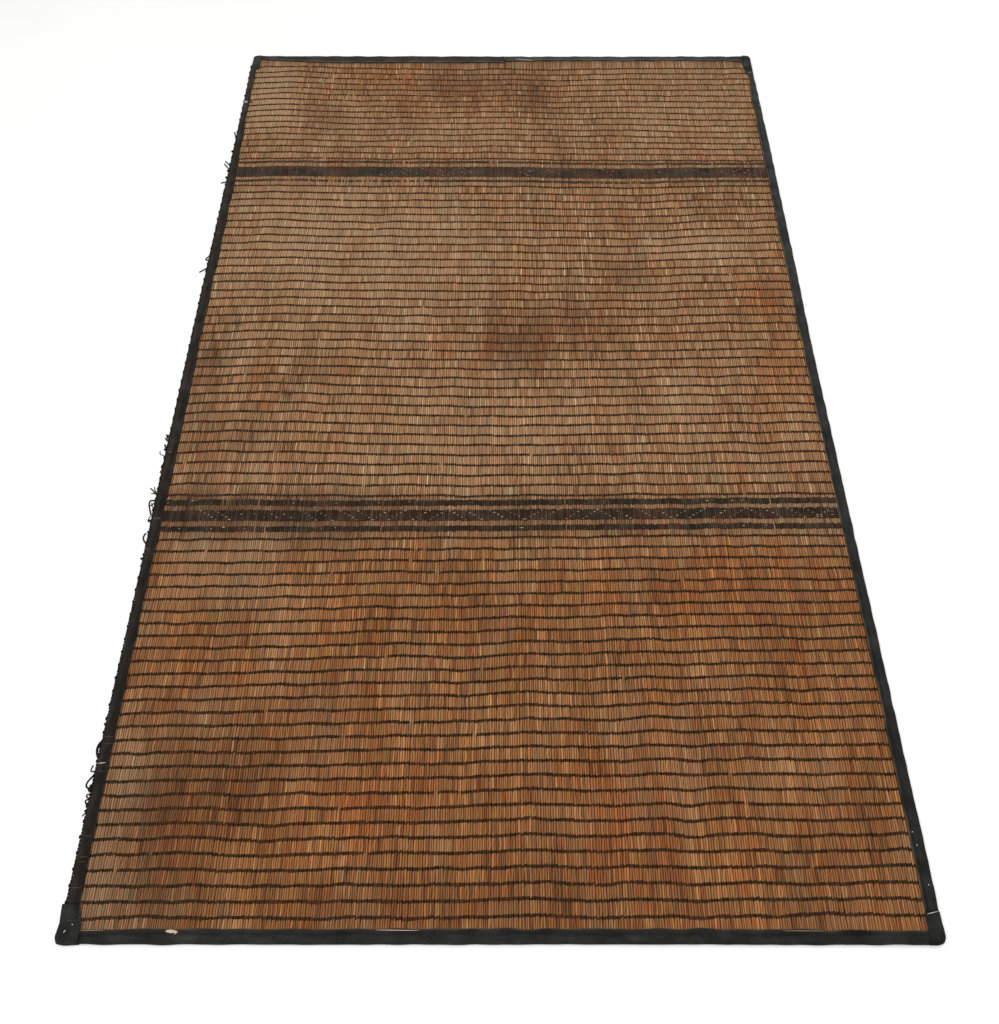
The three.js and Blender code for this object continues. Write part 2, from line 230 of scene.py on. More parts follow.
# Where single stalks come up through a stripe, in mm, and how often
LIFTED = table(
    "band from to share",
    ("upper_band_far_stripe", -542, 542, 0.02),
    ("upper_band_far_stripe", -240, -190, 0.3),
    ("upper_band_far_stripe", -28, 0, 0.6),
    ("upper_band_near_stripe", -542, 542, 0.02),
    ("upper_band_near_stripe", -460, -350, 0.12),
    ("upper_band_near_stripe", -350, -150, 0.34),
    ("upper_band_near_stripe", 195, 275, 0.35),
    ("lower_band_far_stripe", -542, 542, 0.01),
    ("lower_band_far_stripe", -445, -432, 0.8),
    ("lower_band_far_stripe", -432, -380, 0.25),
    ("lower_band_near_stripe", -542, 542, 0.01),
    ("lower_band_near_stripe", -385, -365, 0.5),
)

# The pale dashes of the lower band lie on leaning lines of five, in groups of four lines
LOWER_GROUPS = table(
    "start lean",
    (-314, -1),
    (-201, 1),
    (-80, -1),
    (39, 1),
    (152, -1),
    (270, 1),
    (388, -1),
)
LOWER_OFFSETS = (0, 25.5, 63.5, 89.5)
LOWER_SINGLES = table(
    "start lean",
    (-472, -1),
    (-450, -1),
    (496, 1),
)
LINE_RUN = 25

# The upper band's faint dashes: where each line starts and ends, in mm and in strips from the far edge
UPPER_LINES = table(
    "start end first last",
    (-250, -233, 2, 4),
    (-241, -233, 6, 7),
    (-218, -212, 4, 3),
    (-196, -168, 1, 5),
    (-199, -187, 4, 6),
    (-163, -120, 0, 6),
    (-134, -117, 1, 4),
    (-116, -86, 7, 4),
    (-104, -84, 4, 1),
    (-78, -59, 1, 4),
    (-79, -72, 4, 5),
    (37, 55, 1, 3),
    (59, 71, 3, 1),
    (40, 54, 4, 6),
    (95, 116, 2, 5),
    (130, 148, 1, 3),
    (205, 213, 1, 2),
    (317, 337, 3, 6),
    (370, 377, 2, 1),
    (389, 416, 2, 6),
    (440, 450, 3, 5),
    (462, 480, 4, 1),
    (485, 507, 1, 3),
    (468, 488, 6, 4),
    (488, 508, 4, 6),
)

# Rubbed, faint dashes of the upper band: how many there are between two places in mm
FAINT_DASHES = table(
    "from to count",
    (-262, -55, 30),
    (30, 150, 14),
    (290, 535, 44),
)

# Pale dashes that stand alone: the band, places in mm, and the strip they lie on
LONE_DASHES = table(
    "band strip at",
    ("lower_band_far_stripe", 0.5, (-527, -329, -261, -212, -192.5, 326, 366, 382)),
    ("lower_band_far_stripe", 0, (-487.5, -484, -146, -132)),
    ("lower_band_near_stripe", 0.5, (-501, -452, -399, -279, 30, 33, 378, 413)),
    ("lower_band_near_stripe", 0, (-431, -291, -259, 426)),
    ("lower_band", 1.5, (-408, -386, -361, -340, 516, 521)),
    ("lower_band", 3, (-398, -372, -352, -329, 519)),
    ("upper_band", 2, (-480, -428.6, -376, 226, 267)),
    ("upper_band", 5, (-464, -416, -409, -355, 219)),
)

# Tapes: stations along the edge, with how far the fold lies in from the outer line and how far in from that
# line the tape covers, in mm, and the shade painted on the cloth there: partly painted light, darker towards
# the near edge and paler towards the far one, and partly paler and darker stretches of the cloth itself. The
# crease is a share of the tape's width and gets painted shade; painted shade darkens the cloth between it and
# the lip by the inner value, and the lip is grubby or frayed over its last share
TAPES = (
    {
        "name": "tape_left", "side": "left", "from": -925, "to": 921.7, "cloth": "332e29",
        "along": (-925, -715, -415, -175, 125, 365, 545, 665, 785, 922),
        "inset": (3, 3, 4, 3, 3, 3.5, 4, 4.5, 4, 4),
        "cover": (19.5, 19, 18.5, 20.5, 19, 20, 20.5, 16.5, 15, 14.5),
        "shade": (0.15, 0.18, 0.24, 0.28, 0.34, 0.38, 0.44, 0.5, 0.56, 0.62),
        "crease": 0.5, "inner": 0.2, "lip": 0.1, "lip_share": 0.08,
    },
    {
        "name": "tape_right", "side": "right", "from": -934, "to": 902.7, "cloth": "303130",
        "along": (-934, -835, -525, -235, 65, 300, 665, 823, 875, 903),
        "inset": (0.5, 0, 1.5, 2.5, 3.5, 1, 0, 0, 0, 0.5),
        "cover": (19, 18, 18, 20, 20.5, 18.5, 17, 15.5, 12.5, 12.5),
        "shade": (0.15, 0.17, 0.24, 0.34, 0.44, 0.5, 0.56, 0.6, 0.62, 0.62),
        "crease": 0.74, "inner": 0, "lip": 0.7, "lip_share": 0.1,
    },
    {
        "name": "tape_far_left", "side": "far", "from": -528.7, "to": 8, "cloth": "393735",
        "along": (-529, -450, -350, 8),
        "inset": (0.5, 2, 2, 3),
        "cover": (14, 22, 28, 27),
        "shade": (0.5, 0.5, 0.5, 0.55),
        "crease": 0.4, "inner": 0, "lip": 0.3, "lip_share": 0.35,
    },
    {
        "name": "tape_far_right", "side": "far", "from": 8.3, "to": 532.7, "cloth": "474846",
        "along": (8, 130, 330, 430, 510, 520, 525, 529, 531, 533),
        "inset": (3.5, 4, 4, 4, 3.5, 3, 3, 3, 3, 3),
        "cover": (22, 20, 20, 20, 21, 22.5, 25, 31, 40, 50),
        "shade": (0.5, 0.5, 0.5, 0.42, 0.3, 0.26, 0.2, 0.16, 0.1, 0.1),
        "crease": 0.4, "inner": 0, "lip": 0.35, "lip_share": 0.35,
    },
    {
        "name": "tape_near", "side": "near", "from": -521.7, "to": 529.7, "cloth": "2b2c29",
        "along": (-522, -480, -440, -370, -340, -200, -80, 100, 230, 360, 530),
        "inset": (0.5, 0.5, 0.5, 0.5, 0.5, 0.5, 0.5, 1, 1, 0.5, 0.5),
        "cover": (18, 18, 18.5, 18.5, 18.5, 18.5, 19, 19, 19, 18.5, 17),
        "shade": (0.3, 0.34, 0.28, 0.5, 0.5, 0.28, 0.38, 0.3, 0.36, 0.26, 0.3),
        "crease": 0.6, "inner": 0.1, "lip": 0.45, "lip_share": 0.1,
    },
)

# Small things on the tapes, in mm: leather joins, threads, frayed lips and torn or mended spots.
# Each is as long and wide as given and turned by so many degrees from the X axis
TAPE_BITS = table(
    "kind x y long wide turn tone up",
    ("join", -542, 798, 9, 9, 0, 0.75, 6.8),
    ("join", -531, 801, 15, 2.4, -25, 0, 5),
    ("join", -539.5, 744, 13, 1.6, 0, 0.03, 6.3),
    ("join", -539, 473, 17, 1.8, 0, 0.03, 6.3),
    ("join", -539, 371, 16, 1.6, 5, 0.03, 6.3),
    ("join", -538, -315, 16, 5, 0, 0.03, 6.3),
    ("join", -541, -172.5, 12, 4, 0, 0, 6.3),
    ("join", -540, -178.5, 8, 2.5, 0, 0.12, 6.3),
    ("join", -541, -190, 9, 1, -25, 0.05, 6.3),
    ("join", -543, -374, 10, 5, 0, 0, 6.3),
    ("join", -538.5, -693, 16, 1.4, 3, 0.03, 6.3),
    ("join", -538.5, -703, 16, 1.2, 3, 0.03, 6.3),
    ("join", -538.5, -744, 16, 1.5, 0, 0.03, 6.3),
    ("join", -538.5, -835.5, 16, 1.4, -3, 0.03, 6.3),
    ("join", -538.5, -864, 16, 1.4, 2, 0.03, 6.3),
    ("join", -538.5, -870.5, 14, 1.2, 2, 0.03, 6.3),
    ("join", -538.5, -904.5, 16, 1.5, 0, 0.03, 6.3),
    ("thread", -541, -732, 13, 1, 7, 1, 6.3),
    ("thread", 537, -829.5, 2, 1.2, 20, 1, 6.3),
    ("thread", 539, -847.5, 2.2, 1.2, -30, 1, 6.3),
    ("thread", 543, -900, 2, 1.2, 60, 1, 6.3),
    ("thread", 540, -936, 17, 1, 13, 0.8, 7.4),
    ("thread", 552, 171, 8, 0.6, -38, 0.5, 6.3),
    ("join", -409, -959.5, 17, 5, -4, 1, 6.3),
    ("join", -403, -962, 8, 1.6, 40, 1, 6.3),
    ("join", -509, -958.5, 46, 0.9, 1, 0.5, 6.3),
    ("join", 376, -958.5, 62, 0.9, -0.5, 0.5, 6.3),
    ("join", -128, -958, 62, 1.2, -0.5, 1, 6.3),
    ("join", -541, -960, 5, 1.6, 60, 1, 7.4),
    ("join", -533, -951.5, 2.4, 1.8, 0, 0.9, 7.4),
    ("join", 52, 957, 50, 4.5, -10, 0.5, 6.3),
    ("join", 547.5, 786, 2.4, 7, 0, 0.5, 6.3),
    ("thread", 541, 907, 11, 8, -20, 0.07, 6.5),
)

# Corner pieces: the fold's route round the corner, the inner points that its lips run to, and how far it
# stands above the tapes, in mm, and the shade painted on the cloth, darker at the near corners as on the
# tapes
CORNERS = (
    {
        "name": "corner_far_left", "cloth": "393735", "shade": 0.5, "rise": 0.4,
        "route": ((-546.5, 922), (-546.5, 967), (-544.5, 972.5), (-539, 975), (-529, 975)),
        "inner": ((-530, 922), (-529, 923)),
    },
    {
        "name": "corner_far_right", "cloth": "303331", "shade": 0.45, "rise": 0.1,
        "route": ((533, 975), (541, 974.5), (547, 972.5), (549.5, 966), (549.5, 903)),
        "inner": ((533, 904), (534, 903)),
    },
    {
        "name": "corner_near_right", "cloth": "2b2c29", "shade": 0.3, "rise": 0.75,
        "route": ((550, -934.3), (550.5, -966), (548, -972.5), (541, -975), (530, -975)),
        "inner": ((531, -934.3), (530, -935.3)),
    },
    {
        "name": "corner_near_left", "cloth": "2b2c29", "shade": 0.3, "rise": 0.75,
        "route": ((-522, -975), (-541, -976), (-550, -974), (-552.5, -967), (-550.5, -950), (-552.5, -925.3)),
        "inner": ((-522, -953), (-529, -925.3)),
    },
)

# Torn thong ends along the left edge, from the far end to the near one, in mm. Some are thinner
# or thicker than the rest
STRANDS = table(
    "root thick route",
    (673, 1, ((-549, 684), (-554, 699))),
    (584, 1, ((-551, 592), (-559, 600))),
    (572, 1, ((-553, 582), (-560, 592))),
    (533, 1, ((-552, 534), (-558, 529))),
    (298, 1, ((-555, 299), (-554, 304), (-550, 309))),
    (277, 1, ((-553, 272), (-561, 265))),
    (-137, 0.9, ((-552, -139), (-555.5, -136))),
    (-150, 0.9, ((-553, -148), (-555.5, -144))),
    (-166, 1.1, ((-552.5, -164), (-553.5, -158))),
    (-184, 0.6, ((-554, -180), (-559, -179), (-559, -172))),
    (-198, 0.8, ((-550, -200), (-551.5, -207))),
    (-212, 0.8, ((-550, -212), (-551.5, -218))),
    (-264, 0.9, ((-551.5, -261), (-555, -256), (-561, -250))),
    (-262, 0.6, ((-553, -257), (-555.5, -247))),
    (-262, 0.7, ((-554, -260), (-558, -261))),
    (-277, 1, ((-554.5, -274), (-558.5, -278), (-556, -290), (-551, -304))),
    (-279, 0.7, ((-552, -282), (-557, -288))),
    (-292, 0.6, ((-552, -288), (-554, -280))),
    (-306, 0.6, ((-551, -304), (-553.5, -312))),
    (-361, 1, ((-553, -355), (-556, -347), (-552.5, -340))),
    (-697, 1.4, ((-552.5, -701), (-553.5, -713), (-549, -722))),
    (-741, 0.8, ((-553, -743), (-556.5, -740), (-553.5, -733))),
    (-746, 1, ((-552, -750), (-558, -760), (-555.5, -767), (-549, -766))),
    (-776, 0.8, ((-553, -774), (-554, -779), (-550, -781))),
    (-783, 0.8, ((-553, -782), (-554, -787), (-550, -789))),
    (-800, 0.7, ((-551, -802), (-553.5, -806))),
)

# Larger knots on the selvedge, in mm
KNOTS = table(
    "x y radius",
    (-549.5, 632, 2.2),
    (-549.5, 568, 2.2),
    (-550, 547, 2.2),
    (-548.5, 496, 2),
    (-551.5, -143, 2.4),
    (-551, -149, 2),
    (-551, -170, 2.3),
    (-550, -205, 1.9),
    (-551, -261, 1.8),
    (-552, -316, 2.2),
    (-550, -389, 2),
    (-549.5, -671, 1.9),
    (-549.5, -764, 2.6),
    (-549.5, -770, 3),
    (-552, -768, 2),
    (-549.8, -790, 2.3),
    (-550, -799, 1.8),
)


def linear(hex_colour):
    """A colour written as sRGB hex, as the linear values that the shaders take."""
    values = (int(hex_colour[start:start + 2], 16) / 255 for start in (0, 2, 4))
    return tuple(v / 12.92 if v <= 0.04045 else ((v + 0.055) / 1.055) ** 2.4 for v in values)


def length_setting(name, description, default):
    """A setting in metres."""
    return FloatProperty(name=name, description=description, default=default, unit="LENGTH", precision=5)


def colour_setting(name, description, code):
    """A colour setting, from its hex code."""
    return FloatVectorProperty(name=name, description=description, subtype="COLOR", default=linear(code))


class ReedSettings(bpy.types.PropertyGroup):
    stalks: IntProperty(
        name="Stalks", description="How many stalks lie side by side", default=344, min=8)
    sides: IntProperty(
        name="Sides", description="Sides of a stalk's section", default=4, min=4, max=6)
    pinch: length_setting(
        "Pinch", "How far a stalk is pulled to its partner under a thong row", 0.45 * MM)
    light: colour_setting("Light straw", "Colour of the palest stalks", "c0a27f")
    middle: colour_setting("Straw", "Colour of most stalks", "957553")
    dark: colour_setting("Dark straw", "Colour of the darkest stalks", "6f5137")


class ThongSettings(bpy.types.PropertyGroup):
    length: length_setting("Stitch length", "Length of one twist of thong", 11.5 * MM)
    width: length_setting("Stitch width", "Width of one twist of thong", 5.7 * MM)
    slant: FloatProperty(
        name="Slant", description="How far each twist leans across the row",
        default=math.radians(30), subtype="ANGLE")
    leather: colour_setting("Thong", "Colour of the thongs", "38291c")


class BandSettings(bpy.types.PropertyGroup):
    rise: length_setting("Rise", "How far the woven leather stands above the stalks", 0.9 * MM)
    rib: length_setting("Rib depth", "Depth of the grooves between two stalks", 0.7 * MM)
    leather: colour_setting("Band leather", "Colour of the dark strips", "55463a")
    dash: colour_setting("Dashes", "Colour of the pale dashes", "a8947c")


class TapeSettings(bpy.types.PropertyGroup):
    thickness: length_setting("Thickness", "Thickness of the tape", 0.9 * MM)
    step: length_setting("Step", "Distance between two sections of a tape", 4 * MM)
    # The rubbed colour also serves as painted light, where a tape's stored shade is above a half.
    rubbed_and_lit: colour_setting("Rubbed cloth", "Colour of the cloth where it is rubbed pale", "565553")


class FringeSettings(bpy.types.PropertyGroup):
    strand: length_setting("Strand", "Thickness of a torn thong end", 2.3 * MM)
    leather: colour_setting("Fringe leather", "Colour of the knotted ends", "241f1b")


class StageSettings(bpy.types.PropertyGroup):
    lens: FloatProperty(
        name="Lens", description="Focal length of the camera, in mm", default=42.715, min=10)
    floor: colour_setting("Floor", "Colour of the floor", "f4f4f2")


def add_node(tree, kind, inputs=None, **settings):
    """Adds a node, sets its settings, and links or sets its inputs."""
    node = tree.nodes.new(kind)
    for name, value in settings.items():
        setattr(node, name, value)
    for socket, value in (inputs or {}).items():
        if isinstance(value, bpy.types.NodeSocket):
            tree.links.new(value, node.inputs[socket])
        else:
            node.inputs[socket].default_value = value
    return node


def new_material(name):
    """A node material with its shader left ready, and the shader."""
    material = bpy.data.materials.new(name)
    material.use_nodes = True
    shader = material.node_tree.nodes["Principled BSDF"]
    return material, material.node_tree, shader


# ShaderNodeMix in colour mode has its inputs and output at these places
FACTOR, FIRST, SECOND, MIXED = 0, 6, 7, 2


def mixed(tree, factor, first, second, blend="MIX"):
    """A colour between two others, as a socket. Plain colours get an alpha."""
    inputs = {FACTOR: factor, FIRST: first, SECOND: second}
    for place in (FIRST, SECOND):
        if not isinstance(inputs[place], bpy.types.NodeSocket):
            inputs[place] = (*inputs[place], 1)
    node = add_node(tree, "ShaderNodeMix", inputs, data_type="RGBA", blend_type=blend)
    return node.outputs[MIXED]


def stored(tree, name):
    """A value kept on the piece's points or faces, as a socket."""
    return add_node(tree, "ShaderNodeAttribute", attribute_name=name).outputs["Fac"]


def noise_on_place(tree, scale, detail=3.0, roughness=0.55):
    """Noise on the object's own coordinates; scale is one size in metres for each axis."""
    place = add_node(tree, "ShaderNodeTexCoord").outputs["Object"]
    stretched = add_node(tree, "ShaderNodeMapping", {"Vector": place, "Scale": [1 / s for s in scale]})
    noise = add_node(
        tree, "ShaderNodeTexNoise",
        {"Vector": stretched.outputs["Vector"], "Scale": 1.0, "Detail": detail, "Roughness": roughness})
    return noise.outputs["Fac"]


def spread_out(tree, value, low, high, to_low=0.0, to_high=1.0):
    """A value's range stretched to another one, clamped."""
    node = add_node(
        tree, "ShaderNodeMapRange",
        {"Value": value, "From Min": low, "From Max": high, "To Min": to_low, "To Max": to_high})
    return node.outputs["Result"]


def bumped(tree, shader, height, distance):
    """Lets a height in metres catch the light on a shader."""
    bump = add_node(tree, "ShaderNodeBump", {"Height": height, "Distance": distance, "Strength": 0.6})
    tree.links.new(bump.outputs["Normal"], shader.inputs["Normal"])


def dried_straw(reed):
    """Dry grass stalks, satin where the skin is whole: each stretch has its own tone; the browner flanks and
    undersides against a light crest are painted shade, as is the darkening in the notches where two pairs
    part; fine lengthwise fibres, and the mat's stained and worn patches, with painted shade in slits where a
    stalk is missing, lie over them all."""
    material, tree, shader = new_material("dried_straw")
    patch = add_node(tree, "ShaderNodeAttribute", attribute_name="patch")
    stains_and_slit_shade = add_node(tree, "ShaderNodeSeparateColor", {"Color": patch.outputs["Color"]})
    # Fibres are under half a millimetre wide, drawn about twice as coarse so that they show
    fibre = noise_on_place(tree, (0.9 * MM, 28 * MM, 2 * MM), detail=2.0)
    tone = add_node(
        tree, "ShaderNodeMath",
        {0: spread_out(tree, fibre, 0.3, 0.7, -0.2, 0.2), 1: stored(tree, "tone")},
        operation="ADD").outputs[0]
    low = mixed(tree, spread_out(tree, tone, 0.0, 0.5), tuple(reed.dark), tuple(reed.middle))
    high = mixed(tree, spread_out(tree, tone, 1.05, 1.3), tuple(reed.light), linear("cbb592"))
    straw = mixed(tree, spread_out(tree, tone, 0.5, 1.0), low, high)
    # Painted shade: the flank value darkens and browns the flanks and undersides against the light crest, and
    # the notch value darkens the valleys where two pairs part at a thong row; redness and most stains are the
    # stalks' own.
    tints = (
        (stored(tree, "ruddy"), 0.1, 0.9, (1.05, 0.80, 0.68)),
        (stored(tree, "flank_shade"), 0.3, 1.0, (0.60, 0.50, 0.40)),
        (stored(tree, "notch_shade"), 0.42, 0.95, (0.24, 0.16, 0.11)),
        (stains_and_slit_shade.outputs["Green"], 0.0, 1.0, (0.96, 0.72, 0.48)),
        (patch.outputs["Alpha"], 0.0, 1.0, (1.0, 0.58, 0.38)),
        # the dark channel also carries painted shade in slits where a stalk is missing
        (stains_and_slit_shade.outputs["Red"], 0.0, 1.0, (0.42, 0.38, 0.37)),
    )
    for value, start, stop, tint in tints:
        tinted = mixed(tree, 1.0, straw, tint, "MULTIPLY")
        straw = mixed(tree, spread_out(tree, value, start, stop), straw, tinted)
    pale = mixed(tree, 0.45, straw, linear("b89d7c"))
    straw = mixed(tree, stains_and_slit_shade.outputs["Blue"], straw, pale)
    tree.links.new(straw, shader.inputs["Base Color"])
    tree.links.new(spread_out(tree, fibre, 0.3, 0.7, 0.5, 0.72), shader.inputs["Roughness"])
    shader.inputs["Specular IOR Level"].default_value = 0.18
    bumped(tree, shader, fibre, 0.25 * MM)
    return material


def goat_leather(name, colour, grain=1.6 * MM):
    """Thin dark goat leather, hand dyed and rubbed: the tone drifts from brown to green-black, raised edges
    are greyer, and a fine pebbled grain breaks the gloss. The stored tone darkens it: at random from twist to
    twist, and on the bands as painted shade in the grooves and hollows."""
    material, tree, shader = new_material(name)
    tone = stored(tree, "tone")
    drift = noise_on_place(tree, (90 * MM, 30 * MM, 90 * MM), detail=2.0)
    grains = noise_on_place(tree, (grain, grain, grain), detail=3.0)
    hue = mixed(
        tree, spread_out(tree, drift, 0.40, 0.60), tuple(c * f for c, f in zip(colour, (0.82, 0.94, 0.9))),
        tuple(c * f for c, f in zip(colour, (1.2, 0.95, 0.86))))
    worn = mixed(tree, spread_out(tree, grains, 0.55, 0.8, 0.0, 0.25), hue, linear("6d5f52"))
    # The stored tone: random on the thongs, and on the bands painted shade in the grooves between stalks and
    # the hollows between strips, with paler rubbed crests.
    darker = mixed(tree, 1.0, worn, (0.2, 0.19, 0.18), "MULTIPLY")
    shade = mixed(tree, tone, darker, worn)
    tree.links.new(shade, shader.inputs["Base Color"])
    tree.links.new(spread_out(tree, grains, 0.3, 0.7, 0.52, 0.76), shader.inputs["Roughness"])
    shader.inputs["Specular IOR Level"].default_value = 0.06
    bumped(tree, shader, grains, 0.3 * MM)
    return material


def faded_tape_cloth(name, colour, tint):
    """Plain-woven cotton tape, dyed charcoal and faded by rubbing: a square weave, threads a little lighter
    than the gaps, dusty worn streaks, dark creases of painted shade, a grubby, frayed lip, and the stored
    shade, which is also painted light along the tape, darker towards the near edge and paler towards the far
    one."""
    material, tree, shader = new_material(name)
    shade = stored(tree, "shade")
    dirt = stored(tree, "dirt")
    place = add_node(tree, "ShaderNodeTexCoord").outputs["Object"]
    # Threads are about 0.6 mm apart, drawn at 1.6 mm so that the weave shows at all
    thread = 1.6 * MM
    waves = []
    for direction in ("X", "Y"):
        wave = add_node(
            tree, "ShaderNodeTexWave",
            {"Vector": place, "Scale": 1 / (thread * 20) * math.pi, "Distortion": 1.2, "Detail": 1.0,
             "Detail Scale": 0.6},
            wave_type="BANDS", bands_direction=direction)
        waves.append(wave.outputs["Fac"])
    weave = add_node(tree, "ShaderNodeMath", {0: waves[0], 1: waves[1]}, operation="MULTIPLY").outputs[0]
    worn = noise_on_place(tree, (26 * MM, 26 * MM, 26 * MM), detail=5.0, roughness=0.65)
    speck = noise_on_place(tree, (3 * MM, 3 * MM, 3 * MM), detail=2.0)
    base = mixed(tree, spread_out(tree, weave, 0.0, 0.6, 0.0, 0.5), tuple(c * 0.72 for c in colour), colour)
    faded = mixed(tree, 0.22, base, tint)
    base = mixed(tree, spread_out(tree, worn, 0.42, 0.72), base, faded)
    dusty = mixed(tree, 0.3, base, linear("8a8378"))
    base = mixed(tree, spread_out(tree, speck, 0.62, 0.8, 0.0, 0.55), base, dusty)
    # The stored shade below a half darkens the cloth and above it pales it towards the rubbed colour: painted
    # shade in creases and on the inner ply, painted light along the tapes, and the cloth's own paler and
    # darker stretches.
    dark = mixed(tree, 1.0, base, (0.4, 0.4, 0.4), "MULTIPLY")
    pale = mixed(tree, 0.55, base, tint)
    base = mixed(tree, spread_out(tree, shade, 0.0, 0.5), dark, base)
    base = mixed(tree, spread_out(tree, shade, 0.5, 1.0), base, pale)
    base = mixed(tree, spread_out(tree, dirt, 0.0, 1.0, 0.0, 0.8), base, linear("75644f"))
    tree.links.new(base, shader.inputs["Base Color"])
    shader.inputs["Roughness"].default_value = 0.92
    shader.inputs["Specular IOR Level"].default_value = 0.05
    bumped(tree, shader, weave, 0.4 * MM)
    return material


def pull_at(x, y):
    """How far a row is pulled towards the near edge at a place on the mat, in metres."""
    pull = np.zeros(np.broadcast(x, y).shape)
    for sway in SWAYS:
        across = (x / MM - sway["x"]) / sway["wide"]
        along = (y / MM - sway["y"]) / sway["long"]
        pull += sway["pull"] * MM * np.exp(-across ** 2 - along ** 2)
    return pull


def soft_noise(x, y, size, seed, waves=10):
    """Smooth noise of about unit height: a sum of cosines in seeded directions. Size in metres."""
    source = np.random.default_rng(seed)
    total = np.zeros(np.broadcast(x, y).shape)
    for _ in range(waves):
        turn = source.uniform(0, math.tau)
        length = size * source.uniform(0.6, 1.8)
        phase = source.uniform(0, math.tau)
        total += np.cos((x * math.cos(turn) + y * math.sin(turn)) * math.tau / length + phase)
    return total / math.sqrt(waves / 2)


def smooth_step(value, low, high):
    """A soft rise from 0 to 1 between two values."""
    share = np.clip((value - low) / (high - low), 0, 1)
    return share * share * (3 - 2 * share)


TINTS = ("dark", "warm", "pale", "red")


def patches_at(x, y):
    """How dark, warm, pale and red the stalks are at each place, in the order of TINTS."""
    tints = np.zeros((len(x), len(TINTS)))
    for patch in PATCHES:
        across = (x / MM - patch["x"]) / patch["wide"]
        along = (y / MM - patch["y"]) / patch["long"]
        reach = np.exp(-(np.abs(across) ** 3) - np.abs(along) ** 3)
        for channel, tint in enumerate(TINTS):
            tints[:, channel] += patch[tint] * reach
    # The near third is browner than the rest, and everything drifts a little
    near = smooth_step(-y, 300 * MM, 420 * MM)
    drawn_y = y * 0.35
    tints[:, 0] += 0.27 * near + 0.10 * soft_noise(x, drawn_y, 90 * MM, 11) + 0.02
    tints[:, 1] += 0.75 * near + 0.12 + 0.10 * soft_noise(x, drawn_y, 80 * MM, 12)
    tints[:, 2] += 0.10 * soft_noise(x, drawn_y, 70 * MM, 13)
    tints[:, 3] += 0.10 * soft_noise(x, drawn_y, 50 * MM, 14)
    return np.clip(tints, 0, 1)


def points_of(mesh):
    """A mesh's points as an array."""
    places = np.empty(len(mesh.vertices) * 3, np.float32)
    mesh.vertices.foreach_get("co", places)
    return places.reshape(-1, 3).astype(float)


def centres_of(mesh):
    """The middles of a mesh's faces as an array."""
    places = np.empty(len(mesh.polygons) * 3, np.float32)
    mesh.polygons.foreach_get("center", places)
    return places.reshape(-1, 3).astype(float)


def move_points(mesh, x, y, z):
    """Puts the points of a mesh at places given from the mat's middle, in the frame."""
    places = np.stack((x + MIDDLE_X, y, z), axis=-1).astype(np.float32)
    mesh.vertices.foreach_set("co", places.ravel())
    mesh.update()


def store(mesh, name, values, kind="FLOAT", domain="POINT"):
    """Keeps one value or colour for each point or face, for the material to read."""
    attribute = mesh.attributes.new(name, kind, domain)
    field = "color" if kind == "FLOAT_COLOR" else "value"
    attribute.data.foreach_set(field, values.astype(np.float32).ravel())


def mesh_object(name, bm):
    """A new object from a bmesh, which is freed."""
    mesh = bpy.data.meshes.new(name)
    bm.to_mesh(mesh)
    bm.free()
    obj = bpy.data.objects.new(name, mesh)
    bpy.context.scene.collection.objects.link(obj)
    return obj


def repeat(obj, count, offset):
    """Repeats an object's mesh in a line, as an array that is applied later."""
    array = obj.modifiers.new("repeat", "ARRAY")
    array.use_relative_offset = False
    array.use_constant_offset = True
    array.constant_offset_displace = offset
    array.count = count


def apply_modifiers(obj):
    """Puts a mesh with the modifiers applied in place of the raw one."""
    depsgraph = bpy.context.evaluated_depsgraph_get()
    mesh = bpy.data.meshes.new_from_object(obj.evaluated_get(depsgraph), depsgraph=depsgraph)
    rough = obj.data
    obj.modifiers.clear()
    obj.data = mesh
    bpy.data.meshes.remove(rough)
    mesh.name = obj.name


def thicken(obj, thickness):
    """Gives a cloth surface its thickness, half to each side, with its faces turned outwards."""
    solid = obj.modifiers.new("thickness", "SOLIDIFY")
    solid.thickness = thickness
    solid.offset = 0
    apply_modifiers(obj)
    bm = bmesh.new()
    bm.from_mesh(obj.data)
    bmesh.ops.recalc_face_normals(bm, faces=bm.faces)
    bm.to_mesh(obj.data)
    bm.free()


def finish_piece(obj, material, nodes=(), smooth=True):
    """Dresses a piece and seats it on the frame."""
    obj.data.materials.clear()
    obj.data.materials.append(material)
    obj.data.polygons.foreach_set("use_smooth", np.full(len(obj.data.polygons), smooth))
    obj.data.update()
    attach(obj, "root")
    if nodes:
        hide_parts(*nodes)
    return obj


def row_places():
    """Every thong row's own line, from the far edge to the near one, in metres."""
    rows = [np.linspace(block["first"], block["last"], block["rows"]) for block in THONG_BLOCKS]
    return np.concatenate(rows) * MM


def pair_phase(row_index):
    """Which stalk of the sheet starts the first pair in a row: rows mostly agree, some don't."""
    return int(np.random.default_rng(400 + row_index // 5).integers(0, 2))


# Two rows that lie further apart than this have a band between them
ROW_GAP = 40 * MM


def stalk_lines():
    """The lines where a stalk has a ring of points: place, pinch there, and its row's number."""
    rows = row_places()
    edge = SHEET_HALF_LENGTH
    lines = [{"y": edge, "pinch": 0, "row": 0}]
    before = edge
    for index, row in enumerate(rows):
        gap = before - row
        if gap < ROW_GAP:
            lines.append({"y": (before + row) / 2, "pinch": 0, "row": index})
        else:
            bands = [band for band in BANDS if row < band["middle"] * MM < before]
            lines.extend({"y": band["middle"] * MM, "pinch": 0, "row": index} for band in bands)
        lines.append({"y": row, "pinch": 1, "row": index})
        before = row
    lines.append({"y": (before - edge) / 2, "pinch": 0, "row": len(rows) - 1})
    lines.append({"y": -edge, "pinch": 0, "row": len(rows) - 1})
    return lines


STALK_PIECES = 4
# Distance of two stalks in the raw array, in section radii
SPREAD = 10
